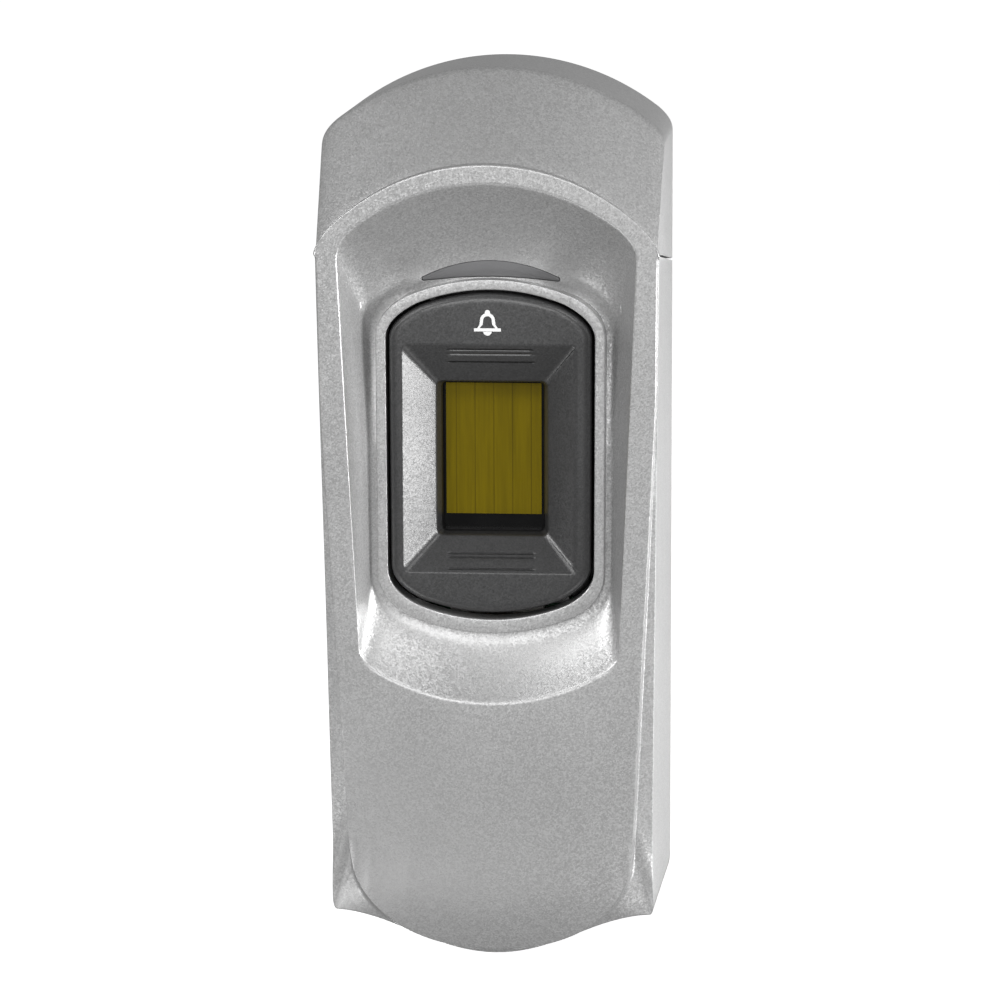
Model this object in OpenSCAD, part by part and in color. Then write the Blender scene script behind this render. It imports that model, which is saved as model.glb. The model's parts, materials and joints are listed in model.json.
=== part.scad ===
// Wall-mounted fingerprint scanner terminal.
// Origin: centre of the wall face. X to the right, Y into the wall, Z up. Millimetres.

/* [Outer shells] */
// Half width of the housing where it meets the wall
back_half_w = 24.9; // [24.5:0.1:25.5]
// Height of the top of the hood above the origin
hood_peak = 64.2; // [63:0.1:65]
// Radius of the arc along the top of the hood
hood_arc_r = 37.5; // [36:0.5:40]
// Depth of the flat top wall of the hood, measured from the wall
hood_top_depth = 25; // [23:0.5:27]
// Depth of the front rim, measured from the wall
rim_depth = 38; // [37:0.5:39]
// Height of the bottom edge below the origin
bottom_drop = 60.5; // [60:0.1:61]
// How far the chin hangs below the bottom edge
chin_drop = 7.1; // [6.5:0.1:7.4]

/* [Rim and recess] */
// Height of the top of the rim above the origin
rim_peak = 51.5; // [51:0.1:52]
// Radius of the arc along the top of the rim
rim_arc_r = 32; // [31:0.5:34]
// Width of the rim's flat face at the top centre
rim_face = 3.1; // [2.8:0.1:3.4]
// Height of the bottom of the recess below the origin
recess_drop = 27.5; // [27:0.1:28]

/* [Collar and sensor module] */
// Half width of the collar's outer edge
collar_half_w = 16.7; // [16.5:0.1:17]
// Height of the collar's top above the origin
collar_peak = 34; // [33.8:0.1:34.2]
// Height of the collar's bottom below the origin
collar_drop = 18; // [17.8:0.1:18.4]
// Width of the collar's face
collar_face = 1.5; // [1.4:0.1:1.6]
// Gap between the collar and the sides of the rocking module
module_gap = 0.4; // [0.35:0.05:0.45]
// Width of the sensor's visible area
sensor_w = 14; // [13.4:0.1:14.2]
// Height of the sensor's visible area
sensor_h = 19.4; // [19:0.1:19.8]

/* [Mounting] */
// Distance between the two wall screw holes
screw_spacing = 83.3; // [80:0.1:84]
// Radius of each wall screw hole
screw_hole_r = 2; // [1.8:0.1:2.2]
// Radius of the cable passage through the grommet
cable_r = 3.2; // [2.8:0.1:3.5]

/* [Moving parts] */
// Radius of the steel pivot pin
pin_r = 0.8; // [0.7:0.05:0.9]
// Radial running clearance round the pivot pin
pin_clearance = 0.05; // [0.03:0.01:0.08]

/* [Hidden] */
$fn = 48;

// Loop sampling: points on the top arc, top corner, side, and bottom run of half an outline
arc_n = 12;
corner_n = 5;
side_n = 14;
bottom_n = 18;
bottom_corner_n = 5;
// Index of the last point above the seam in half an outline
seam_i = arc_n + corner_n;

// Walls and gaps
wall = 1.8;
shell_gap = 0.3;
flange_t = 1.4;
seam_front_z = 37.8;
seam_back_z = 33.3;
plate_t = 2.5;
hood_proud = 0.25;

// Front plateau: slope of the face, its slight belly, and the chin's fall-back
face_slope = 0.042;
face_ref_z = 45;
belly_start_z = -25;
belly = 0.0012;
chin_start_z = -54;
chin_slope = 0.14;
chin_curve = 0.012;
crown = 0.0012;

// Rim corner, and the sides of the wall below it: draft inwards, then a slight flare at the foot
front_half_w = 24.7;
rim_corner = 3;
rim_corner_z = 38.2;
wall_draft = 0.0117;
foot_flare = 0.25;
tongue_taper = 0.052;
chin_half_w = 24;
chin_corner = 0.6;
// How much of the chin's swell is left at the wall
chin_back_swell = 0.55;
tongue_start_z = -50;

// Collar: its corners, and how much wider its face is along the bottom
collar_corner = 4.5;
collar_low_corner = 4.2;
collar_side_top = 25.3;
collar_side_low = -9;
collar_arc_r = 30.3;
collar_foot = 0.55;
module_lift = 0.55;

// Planes behind the collar, all measured as -Y
collar_front = 30.8;
valley_depth = 29.7;
collar_back = 27;
// How much deeper the floor round the collar is along the top
valley_dip = 0.6;
frame_front = 24;
frame_t = 1.5;
board_front = 17.6;
board_t = 1.6;
board_back = board_front - board_t;

// Pivot of the rocking module
pivot_y = -24.6;
pivot_z = -12.5;

// ---------- plane curves ----------

function lerp(a, b, t) = a + (b - a) * t;
function smooth(t) = let(c = min(1, max(0, t))) c * c * (3 - 2 * c);
function bezier(a, b, c, t) = a * (1 - t) * (1 - t) + b * 2 * t * (1 - t) + c * t * t;
function arc_z(peak, r, x) = peak - r + sqrt(r * r - x * x);

// Half of an outline, from the top centre down the right side to the bottom centre
function half_outline(peak, r, corner, corner_end, seam_z, side, side_end, bottom) =
    let(
        w = side(corner_end),
        x_start = w - corner,
        start = [x_start, arc_z(peak, r, x_start)],
        tip = [w, arc_z(peak, r, w)]
    )
    concat(
        [for (i = [0:arc_n - 1]) let(x = x_start * i / arc_n) [x, arc_z(peak, r, x)]],
        [for (i = [0:corner_n]) bezier(start, tip, [w, corner_end], i / corner_n)],
        [[side(seam_z), seam_z]],
        [for (i = [1:side_n]) let(z = lerp(seam_z, side_end, i / side_n)) [side(z), z]],
        [for (i = [1:bottom_n]) bottom(i / bottom_n)]
    );

// A bottom run: a rounded corner, then the curve z = floor_z(x) to the centre
function cornered_bottom(side, side_end, floor_z, corner) =
    let(
        t_corner = bottom_corner_n / bottom_n,
        w = side(side_end),
        x_start = w - corner,
        tip = [w, floor_z(w)],
        start = [x_start, floor_z(x_start)]
    )
    function(t) t <= t_corner
        ? bezier([w, side_end], tip, start, t / t_corner)
        : let(x = x_start * (1 - (t - t_corner) / (1 - t_corner))) [x, floor_z(x)];

// ---------- outlines of the front cover ----------

function face_y(x, z) =
    let(
        low = max(0, belly_start_z - z),
        d = max(0, chin_start_z - z)
    )
    -rim_depth + face_slope * (face_ref_z - z) + belly * low * low
        + chin_slope * d + chin_curve * d * d + crown * x * x;
function seam_z_at(depth) = lerp(seam_back_z, seam_front_z, depth / rim_depth);
// The hood's lower edge runs above the cover's upper edge with a small gap
function hood_foot_z(depth) = 
    shell_gap + lerp(seam_back_z, rim_corner_z, depth / (rim_depth - flange_t));
function chin_bump(x) = abs(x) < chin_half_w ? (1 + cos(180 * x / chin_half_w)) / 2 : 0;

wall_side = function(z)
    front_half_w - max(0, 38 - z) * wall_draft + foot_flare * smooth((-48 - z) / 12);
shield_side = function(z) min(wall_side(z) - 0.05, 24.95 - (27 - z) * tongue_taper);
recess_side = function(z) 21.4 - (38 - z) * 0.0445;
collar_side = function(z) collar_half_w - max(0, 27 - z) * 0.004;

// Depth of the side wall's front edge: the shoulder falls away below the rim
function shoulder_drop(z) = 0.9 + 1.7 * smooth((34 - z) / 62) - 1.9 * smooth((-50 - z) / 10);

function rim_outline(inset, side, side_end, bottom, seam_depth) =
    half_outline(rim_peak - inset, rim_arc_r - inset, rim_corner, rim_corner_z, seam_z_at(seam_depth),
        function(z) side(z) - inset, side_end, bottom);

// The chin's outline, swelling from the bottom edge; swell is 0 for none and 1 for full
function chin_bottom(side, inset, swell, side_end) =
    cornered_bottom(side, side_end,
        function(x) inset - bottom_drop - chin_drop * swell * chin_bump(x), chin_corner);

// The tongue that ends the front plateau
function tongue_bottom(w, side_end, tip_z) =
    function(t) [w * pow(max(0, cos(90 * t)), 0.909), side_end + (tip_z - side_end) * sin(90 * t)];

function shield_outline(inset) =
    let(side = function(z) shield_side(z) - inset)
    half_outline(rim_peak - inset - 0.05, rim_arc_r - inset, rim_corner, rim_corner_z, seam_front_z,
        side, tongue_start_z,
        tongue_bottom(side(tongue_start_z), tongue_start_z, inset - bottom_drop - chin_drop + 0.8));

function recess_outline(grow) =
    let(
        side = function(z) recess_side(z) + grow,
        r = 32.7,
        low = -recess_drop - grow,
        floor_z = function(x) low + r - sqrt(r * r - x * x)
    )
    half_outline(rim_peak - rim_face + grow, 31 + grow, 2.6, 37.6 + grow * 0.3, 36.5, side, -19.5,
        cornered_bottom(side, -19.5, floor_z, 2.2));

function collar_outline(grow) =
    let(
        side = function(z) collar_side(z) + grow,
        r = collar_arc_r + grow,
        low = -collar_drop - grow,
        floor_z = function(x) low + r - sqrt(r * r - x * x)
    )
    half_outline(collar_peak + grow, r, collar_corner, collar_side_top, collar_side_top - 1.3, side,
        collar_side_low, cornered_bottom(side, collar_side_low, floor_z, collar_low_corner));

// Raises the lower part of an outline by amount, starting gently below from_z
function raise_low(half, from_z, amount) =
    [for (p = half) [p[0], p[1] + amount * smooth((from_z - p[1]) / 16)]];

// The collar's inner edge, which leaves a wider face along the bottom
function collar_inner(inset) = raise_low(collar_outline(-collar_face - inset), 4, collar_foot);

// Depth of the floor round the collar
function valley_y(rise) =
    function(x, z) -valley_depth - rise + valley_dip * smooth((z - 14) / 12);

// ---------- loops in space ----------

// Gives each point of a half outline its depth, with its own rule above the seam
function lift(half, y_top, y_low) =
    [for (i = [0:len(half) - 1])
        let(p = half[i])
        [p[0], i <= seam_i ? y_top(p[0], p[1]) : y_low(p[0], p[1]), p[1]]];
function lift_all(half, y) = lift(half, y, y);
function flat(y) = function(x, z) y;

// Mirrors a half loop into a whole one
function whole(half) =
    let(n = len(half))
    concat(half, [for (i = [n - 2:-1:1]) [-half[i][0], half[i][1], half[i][2]]]);

function blend_loops(a, b, t, y) =
    [for (i = [0:len(a) - 1])
        let(x = lerp(a[i][0], b[i][0], t), z = lerp(a[i][2], b[i][2], t))
        [x, y(a[i], b[i], x, z), z]];

// A closed skin through loops that all have the same number of points; the last joins the first
module ring_skin(loops) {
    rows = len(loops);
    n = len(loops[0]);
    points = [for (loop = loops) each loop];
    faces = [for (i = [0:rows - 1], j = [0:n - 1])
        let(
            a = i * n + j,
            b = i * n + (j + 1) % n,
            c = ((i + 1) % rows) * n + (j + 1) % n,
            d = ((i + 1) % rows) * n + j
        )
        each [[a, b, c], [a, c, d]]];
    polyhedron(points, faces, convexity = 8);
}

// A skin through arch-shaped sections; each foot's flat cap is a fan from its point number hub
module arch_skin(sections, hub) {
    count = len(sections);
    m = len(sections[0]);
    points = [for (s = sections) each s];
    sides = [for (i = [0:count - 2], j = [0:m - 1])
        let(
            a = i * m + j,
            b = i * m + (j + 1) % m,
            c = (i + 1) * m + (j + 1) % m,
            d = (i + 1) * m + j
        )
        each [[c, b, a], [d, c, a]]];
    last = (count - 1) * m;
    caps = [for (k = [1:m - 2])
        let(
            a = (hub + k) % m,
            b = (hub + k + 1) % m
        )
        each [[hub, a, b], [last + b, last + a, last + hub]]];
    polyhedron(points, concat(sides, caps), convexity = 8);
}

// ---------- small shared solids ----------

// Cylinder from y0 to y1 along Y
module rod_y(r, y0, y1, x = 0, z = 0) {
    translate([x, min(y0, y1), z])
        rotate([-90, 0, 0])
            cylinder(r = r, h = abs(y1 - y0));
}

// Box by its corners
module block(low, high) {
    translate(low)
        cube(high - low);
}

// Box that lies between two distances from the middle, on the side s
module side_block(s, x0, x1, y0, y1, z0, z1) {
    block([min(s * x0, s * x1), y0, z0], [max(s * x0, s * x1), y1, z1]);
}

// Plate in XZ with rounded corners, from y0 to y1
module rounded_plate(x0, x1, z0, z1, r, y0, y1) {
    translate([0, max(y0, y1), 0])
        rotate([90, 0, 0])
            linear_extrude(abs(y1 - y0))
                rounded_rect(x0, x1, z0, z1, r);
}

module rounded_rect(x0, x1, z0, z1, r) {
    translate([x0 + r, z0])
        square([x1 - x0 - 2 * r, z1 - z0]);
    translate([x0, z0 + r])
        square([x1 - x0, z1 - z0 - 2 * r]);
    for (x = [x0 + r, x1 - r], z = [z0 + r, z1 - r])
        translate([x, z])
            circle(r);
}

// Pan-head screw along Y with its head at y_head, shank towards y_tip
module screw_y(head_r, head_t, shank_r, y_head, y_tip, x, z) {
    way = sign(y_tip - y_head);
    difference() {
        union() {
            rod_y(head_r, y_head, y_head - way * head_t, x, z);
            rod_y(shank_r, y_head, y_tip, x, z);
        }
        for (turn = [0, 90])
            translate([x, y_head - way * head_t, z])
                rotate([0, turn, 0])
                    cube([head_r * 1.3, head_t, head_r * 0.3], center = true);
    }
}

// ---------- back plate and hood ----------

hood_corner = 2.2;
hood_corner_end = 53;
hood_nose_corner_end = 39.4;
hood_lip = 1.35;
hood_side = function(z) back_half_w;

// Half of the hood's outline down to the seam plane, shrunk by inset
function hood_half(inset, depth) =
    let(
        side = function(z) hood_side(z) - inset,
        full = half_outline(hood_peak - inset, hood_arc_r - inset, hood_corner, hood_corner_end,
            hood_corner_end - 0.5, side, hood_foot_z(depth), function(t) [0, 0])
    )
    hood_columns(full);

// The columns that the hood uses: every one down to the corner, then three on the straight side
function hood_columns(full) =
    [for (i = concat([for (k = [0:seam_i]) k], [for (k = [0:2]) seam_i + 1 + k * side_n / 2])) full[i]];

// Half of the hood's front edge, which follows the rim
function hood_front_half(inset, depth) =
    let(
        side = function(z) front_half_w - inset,
        full = half_outline(rim_peak - inset, rim_arc_r - inset, rim_corner, hood_nose_corner_end,
            hood_nose_corner_end - 0.3, side, hood_foot_z(depth), function(t) [0, 0])
    )
    hood_columns(full);

function hood_profile_loops() =
    let(
        top = hood_top_depth,
        front = rim_depth - flange_t - shell_gap,
        back_loop = hood_half(0, 0),
        edge_back = hood_half(0, top - 0.6),
        edge_front = hood_half(0.35, top + 0.25),
        front_loop = hood_front_half(hood_proud, front),
        middle = [for (t = [0.25, 0.5, 0.75])
            [for (i = [0:len(front_loop) - 1]) lerp(edge_front[i], front_loop[i], t)]],
        inner_front = hood_front_half(hood_proud + hood_lip, front),
        inner_edge = hood_half(wall + 0.3, top - 1.2),
        inner_back = hood_half(wall, 0)
    )
    [
        lift_all(back_loop, flat(0)),
        lift_all(edge_back, flat(-top + 0.6)),
        lift_all(edge_front, flat(-top - 0.25)),
        for (k = [0:2]) lift_all(middle[k], flat(lerp(-top - 0.25, -front, (k + 1) / 4))),
        lift_all(front_loop, flat(-front)),
        lift_all(inner_front, flat(-front)),
        lift_all(inner_edge, flat(-top + 1.2)),
        lift_all(inner_back, flat(0))
    ];

hood_boss_x = 14;
hood_boss_z = 54;
hood_boss_r = 2.5;
hood_boss_end = 28.7;
hood_pilot_r = 0.9;
hood_pilot_end = 14;

module hood() {
    loops = hood_profile_loops();
    n = len(loops[0]);
    right = [for (j = [0:n - 1]) [for (loop = loops) loop[j]]];
    left = [for (j = [n - 1:-1:1]) [for (loop = loops) [-loop[j][0], loop[j][1], loop[j][2]]]];
    color("silver")
        difference() {
            union() {
                arch_skin(concat(left, right), 8);
                for (s = [-1, 1])
                    rod_y(hood_boss_r, -plate_t, -hood_boss_end, s * hood_boss_x, hood_boss_z);
            }
            for (s = [-1, 1])
                rod_y(hood_pilot_r, -plate_t + 1, -hood_pilot_end, s * hood_boss_x, hood_boss_z);
        }
}

hood_screw_seat = 1.4;

module hood_screws() {
    color("silver")
        for (s = [-1, 1])
            screw_y(2, 1.2, hood_pilot_r, -hood_screw_seat, 2 - hood_pilot_end, s * hood_boss_x, hood_boss_z);
}

plate_half_w = back_half_w - wall - shell_gap - 0.2;
plate_low_z = -bottom_drop + wall + 1.2;
mount_z = 2;
cable_z = 14;
lock_y = -10;
tab_top = -50.5;
tab_low = -53;
tab_half_w = 6;
tab_end = 15;
rib_t = 1.6;
rib_end = 9;
hook_x = 17.6;
hook_low = 12;
hook_high = 20;
hook_t = 2;
hook_reach = 3.4;
screw_collar_r = 4.4;
screw_collar_t = 1.2;
grommet_r = 6;
grommet_flange_r = 7.4;
grommet_flange_t = 1.4;
insert_r = 2.6;

module back_plate_outline() {
    inset = wall + 0.2;
    intersection() {
        translate([0, hood_peak - hood_arc_r])
            circle(r = hood_arc_r - inset, $fn = 180);
        translate([-back_half_w + inset, 34.2])
            square([2 * (back_half_w - inset), 40]);
    }
    rounded_rect(-plate_half_w, plate_half_w, plate_low_z, 38, 1.5);
}

module back_plate() {
    color("dimgray") {
        difference() {
            union() {
                rotate([90, 0, 0])
                    linear_extrude(plate_t)
                        back_plate_outline();
                // Tab that takes the lock screw
                block([-tab_half_w, -tab_end, tab_low], [tab_half_w, -plate_t + 0.2, tab_top]);
                for (x = [-tab_half_w, tab_half_w - rib_t])
                    block([x, -rib_end, tab_top - 0.2], [x + rib_t, -plate_t + 0.2, tab_top + 6]);
                // Hooks for the cover's ledges
                for (s = [-1, 1]) {
                    side_block(s, hook_x - hook_t, hook_x, -rib_end, -plate_t + 0.2, hook_low, hook_high);
                    side_block(s, hook_x - 0.2, hook_x + hook_reach, -rib_end, -rib_end + hook_t,
                        hook_low, hook_high);
                }
                tamper_ramp();
                // Collars round the wall screws
                for (s = [-1, 1])
                    rod_y(screw_collar_r, -plate_t + 0.2, -plate_t - screw_collar_t, 0,
                        mount_z + s * screw_spacing / 2);
            }
            for (s = [-1, 1])
                rod_y(screw_hole_r, 1, -plate_t - 3, 0, mount_z + s * screw_spacing / 2);
            rod_y(grommet_r, 1, -plate_t - 1, 0, cable_z);
            seal_groove();
            for (s = [-1, 1]) {
                rod_y(1.1, 1, -plate_t - 1, s * hood_boss_x, hood_boss_z);
                rod_y(2.3, 1, -hood_screw_seat, s * hood_boss_x, hood_boss_z);
            }
            translate([0, lock_y, tab_low - 1])
                cylinder(r = insert_r, h = 5);
        }
    }
}

seal_inner_r = 9;
seal_outer_r = 11.5;
seal_t = 1;

module seal_groove() {
    difference() {
        rod_y(seal_outer_r, 1, -seal_t, 0, cable_z);
        rod_y(seal_inner_r, 2, -seal_t - 1, 0, cable_z);
    }
}

module wall_seal() {
    color("dimgray")
        difference() {
            rod_y(seal_outer_r, 0, -seal_t, 0, cable_z);
            rod_y(seal_inner_r, 1, -seal_t - 1, 0, cable_z);
        }
}

module cable_grommet() {
    color("black")
        difference() {
            union() {
                rod_y(grommet_r, 0, -plate_t, 0, cable_z);
                rod_y(grommet_flange_r, -plate_t, -plate_t - grommet_flange_t, 0, cable_z);
            }
            rod_y(cable_r, 1, -plate_t - 3, 0, cable_z);
        }
}

module lock_insert() {
    color("goldenrod")
        difference() {
            translate([0, lock_y, tab_low])
                cylinder(r = insert_r, h = tab_top - tab_low);
            translate([0, lock_y, tab_low - 1])
                cylinder(r = lock_shank_r + 0.1, h = 5);
        }
}

// Ramp under the tamper switch: it recedes as the cover slides down
ramp_x = -14;
ramp_z = -36;
cover_travel = 9;
tamper_travel = 1;
ramp_top_y = -6;

module tamper_ramp() {
    slope = tamper_travel / cover_travel;
    low = ramp_z - cover_travel - 3;
    high = ramp_z + 3;
    translate([ramp_x - 2, 0, 0])
        rotate([90, 0, 90])
            linear_extrude(4)
                polygon([
                    [-plate_t + 0.2, low],
                    [ramp_top_y + (ramp_z - low) * slope, low],
                    [ramp_top_y - (high - ramp_z) * slope, high],
                    [-plate_t + 0.2, high]
                ]);
}

// ---------- front cover ----------

lock_shank_r = 1.5;
lock_head_r = 2.8;
lock_bore_r = lock_shank_r + 0.2;
lock_seat_z = -60;
lock_boss_r = 4.2;
lock_boss_top = -55;
lock_boss_low = -bottom_drop - 0.52 * chin_drop;
ledge_in = 19.2;
ledge_out = 23.6;
ledge_front = 6.6;
ledge_back = 4.6;

function cover_loops() =
    let(
        flange_y = flat(-rim_depth + flange_t),
        back = lift(
            rim_outline(0.05, function(z) back_half_w + 0.05, -bottom_drop + 2.5,
                chin_bottom(function(z) back_half_w, 0, chin_back_swell, -bottom_drop + 2.5), 0),
            flange_y, flat(0)),
        edge = lift(
            rim_outline(0, wall_side, -bottom_drop + 2,
                chin_bottom(wall_side, 0, 1, -bottom_drop + 2), rim_depth - 2),
            flat(-rim_depth + flange_t - 0.5),
            function(x, z) face_y(x, z) + shoulder_drop(z)),
        shield_back = lift(shield_outline(0), flat(-rim_depth + 0.45),
            function(x, z) face_y(x, z) + 0.45),
        shield_mid = lift_all(shield_outline(0.15), function(x, z) face_y(x, z) + 0.15),
        shield = lift_all(shield_outline(0.5), face_y_fn),
        lip = lift_all(recess_outline(0.3), face_y_fn),
        lip_in = lift_all(recess_outline(-0.1), function(x, z) face_y(x, z) + 0.35),
        valley = lift_all(collar_outline(1), valley_y(0.15)),
        face_y_of = function(p, q, x, z) face_y(x, z)
    )
    [
        whole(back),
        whole(edge),
        whole(shield_back),
        whole(shield_mid),
        whole(shield),
        for (t = [0.2, 0.45, 0.72]) whole(blend_loops(shield, lip, t, face_y_of)),
        whole(lip),
        whole(lip_in),
        for (t = [0.2, 0.4, 0.6, 0.8])
            whole(blend_loops(lip_in, valley, t,
                function(p, q, x, z) lerp(p[1], q[1], wall_bend(t)))),
        whole(valley),
        whole(lift_all(collar_outline(0.05), valley_y(0))),
        whole(lift_all(collar_outline(0), flat(-collar_front + 0.25))),
        whole(lift_all(collar_outline(-0.25), flat(-collar_front))),
        whole(lift_all(collar_inner(-0.25), flat(-collar_front))),
        whole(lift_all(collar_inner(0), flat(-collar_front + 0.25))),
        whole(lift_all(collar_inner(0), flat(-collar_back))),
        whole(lift_all(collar_outline(0.6), flat(-collar_back))),
        whole(lift_all(collar_outline(1.9), flat(-valley_depth + 1.5))),
        whole(lift(recess_outline(1.05), flat(-rim_depth + flange_t + 0.2),
            function(x, z) face_y(x, z) + 1.9)),
        whole(lift(shield_outline(1.9), flat(-rim_depth + flange_t + 0.1),
            function(x, z) face_y(x, z) + 2)),
        whole(lift(
            rim_outline(1.75, wall_side, -bottom_drop + 4,
                chin_bottom(function(z) wall_side(z) - 1.75, wall, 0.95, -bottom_drop + 4),
                rim_depth - 3),
            flat(-rim_depth + flange_t + 0.07),
            function(x, z) face_y(x, z) + shoulder_drop(z) + 0.6)),
        whole(lift(
            rim_outline(1, function(z) back_half_w - wall + 1, -bottom_drop + 4,
                chin_bottom(function(z) back_half_w - wall, wall, chin_back_swell, -bottom_drop + 4), 0),
            flat(-rim_depth + flange_t + 0.04), flat(0)))
    ];

face_y_fn = function(x, z) face_y(x, z);
// Concave bend of the recess wall: steep at the rim, shallow at the collar
function wall_bend(t) = 1 - pow(1 - t, 1.35);

boss_x = 20.6;
boss_zs = [-14, 30];
boss_r = 1.9;
boss_pilot_r = 0.8;
foot_x = 15;
foot_z = -45;
foot_r = 2.4;
foot_pilot_r = 0.9;
// Posts of the inner frame that hold the top of the main board
post_x = 17;
post_z = 36;
post_r = 2.4;
post_pilot_r = 0.8;

window_peak = 36.7;
window_top_r = 20.7;
window_low_r = 71;
window_low_peak = 34.2;
window_half_w = 9.7;
window_tip_r = 0.38;
window_tip_z = 33.91;
guide_half_w = 7;
guide_low = 34.5;
guide_high = 35.9;
guide_end = 19.4;

module crescent_outline(shrink) {
    intersection() {
        translate([0, window_peak - window_top_r])
            circle(r = window_top_r - shrink, $fn = 96);
        difference() {
            translate([-window_half_w, 30])
                square([2 * window_half_w, 10]);
            translate([0, window_low_peak - window_low_r])
                circle(r = window_low_r + shrink, $fn = 360);
        }
    }
    for (s = [-1, 1])
        translate([s * window_half_w, window_tip_z])
            circle(r = window_tip_r - shrink);
}

module crescent(shrink, y0, y1) {
    translate([0, max(y0, y1), 0])
        rotate([90, 0, 0])
            linear_extrude(abs(y1 - y0))
                crescent_outline(shrink);
}

module front_cover() {
    color("lightgray")
        difference() {
            union() {
                ring_skin(cover_loops());
                // Bosses for the inner frame and for the foot of the main board
                for (s = [-1, 1], z = boss_zs)
                    rod_y(boss_r, -30.6, -frame_front, s * boss_x, z);
                for (s = [-1, 1])
                    rod_y(foot_r, -32.6, -board_front, s * foot_x, foot_z);
                // Boss for the lock screw
                translate([0, lock_y, lock_boss_low])
                    cylinder(r = lock_boss_r, h = lock_boss_top - lock_boss_low);
                // Ledges that sit behind the base's hooks
                for (s = [-1, 1])
                    side_block(s, ledge_in, ledge_out, -ledge_front, -ledge_back, hook_low + 0.5, hook_high);
            }
            for (s = [-1, 1], z = boss_zs)
                rod_y(boss_pilot_r, -29.5, -frame_front + 1, s * boss_x, z);
            for (s = [-1, 1])
                rod_y(foot_pilot_r, -29, -board_front + 1, s * foot_x, foot_z);
            translate([0, lock_y, -70])
                cylinder(r = lock_bore_r, h = 20);
            translate([0, lock_y, -70])
                cylinder(r = lock_head_r + 0.4, h = 70 + lock_seat_z);
            crescent(0, -36, -26);
        }
}

// Slope of the recess at the window: depth falls from the collar upwards
window_face_slope = 0.27;
window_face_depth = valley_depth - valley_dip;
window_back = 27.6;

module status_window() {
    low_z = 33;
    high_z = 38;
    color([0.25, 0.25, 0.27])
        intersection() {
            union() {
                crescent(0.04, -31.6, -window_back);
                block([-guide_half_w, -window_back - 0.4, guide_low], [guide_half_w, -guide_end, guide_high]);
            }
            translate([-12, 0, 0])
                rotate([90, 0, 90])
                    linear_extrude(24)
                        polygon([
                            [-window_face_depth - (low_z - collar_peak) * window_face_slope, low_z],
                            [-10, low_z],
                            [-10, high_z],
                            [-window_face_depth - (high_z - collar_peak) * window_face_slope, high_z]
                        ]);
        }
}

// ---------- inner frame and board ----------

frame_half_w = 22.1;
frame_low = -24;
frame_high = 39;
frame_ear_in = 11.6;
// Opening that the module's back and its ears move in
frame_open_half_w = 11.4;
frame_open_low = -16.5;
frame_open_high = 32;

module inner_frame() {
    color("black")
        difference() {
            union() {
                rounded_plate(-frame_half_w, frame_half_w, frame_low, frame_high, 3,
                    -frame_front, -frame_front + frame_t);
                for (s = [-1, 1])
                    rod_y(post_r, -frame_front + frame_t - 0.4, -board_front, s * post_x, post_z);
                // Ears for the pivot pin
                for (s = [-1, 1])
                    side_block(s, frame_ear_in, pin_half, pivot_y - 1.2, -frame_front + 0.2,
                        pivot_z - 2, pivot_z + 2);
            }
            block([-frame_open_half_w, -27, frame_open_low], [frame_open_half_w, -20, frame_open_high]);
            block([-guide_half_w - 0.3, -27, guide_low - 0.3], [guide_half_w + 0.3, -20, guide_high + 0.3]);
            for (s = [-1, 1], z = boss_zs)
                rod_y(1, -27, -20, s * boss_x, z);
            for (s = [-1, 1])
                rod_y(post_pilot_r, -22, -16, s * post_x, post_z);
            translate([-pin_half, pivot_y, pivot_z])
                rotate([0, 90, 0])
                    cylinder(r = pin_r, h = 2 * pin_half);
        }
}

// Half the length of the pivot pin, flush with the outer faces of the frame's ears
pin_half = 14;

module pivot_pin() {
    color("gainsboro")
        translate([-pin_half, pivot_y, pivot_z])
            rotate([0, 90, 0])
                cylinder(r = pin_r, h = 2 * pin_half);
}

module frame_screws() {
    color("silver")
        for (s = [-1, 1], z = boss_zs)
            screw_y(1.7, 1.1, boss_pilot_r, -frame_front + frame_t, -29, s * boss_x, z);
}

board_half_w = 20.5;
board_low = -48.5;
board_high = 39.5;
board_hole_r = 1.1;

module main_board() {
    color("darkgreen")
        difference() {
            rounded_plate(-board_half_w, board_half_w, board_low, board_high, 1.5, -board_front, -board_back);
            for (s = [-1, 1]) {
                rod_y(board_hole_r, -20, -12, s * post_x, post_z);
                rod_y(board_hole_r, -20, -12, s * foot_x, foot_z);
            }
        }
}

module board_screws() {
    color("silver")
        for (s = [-1, 1]) {
            screw_y(1.9, 1.2, post_pilot_r, -board_back, -21.5, s * post_x, post_z);
            screw_y(1.9, 1.2, foot_pilot_r, -board_back, -26, s * foot_x, foot_z);
        }
}

// Chip with gull-wing legs on two or four sides; y_seat is the board's face, way is -1 to the front
module chip(w, h, t, legs, pitch, four_sides, x, z, y_seat, way) {
    lead = 0.9;
    lead_t = 0.4;
    lead_half_w = 0.15;
    y0 = min(y_seat, y_seat + way * lead_t);
    y1 = max(y_seat, y_seat + way * lead_t);
    block([x - w / 2, min(y_seat, y_seat + way * t), z - h / 2],
        [x + w / 2, max(y_seat, y_seat + way * t), z + h / 2]);
    for (i = [0:legs - 1]) {
        o = (i - (legs - 1) / 2) * pitch;
        for (s = [-1, 1]) {
            translate([x, 0, z + o])
                side_block(s, w / 2, w / 2 + lead, y0, y1, -lead_half_w, lead_half_w);
            if (four_sides)
                translate([x + o, 0, z])
                    rotate([0, -90, 0])
                        side_block(s, h / 2, h / 2 + lead, y0, y1, -lead_half_w, lead_half_w);
        }
    }
}

module processor_chip() {
    color("black")
        chip(12, 12, 1.4, 12, 0.8, true, 0, -27, -board_front, -1);
}

module memory_chips() {
    color("black")
        for (s = [-1, 1])
            chip(5, 6, 1.5, 4, 1.27, false, s * 12.5, -34, -board_front, -1);
}

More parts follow.
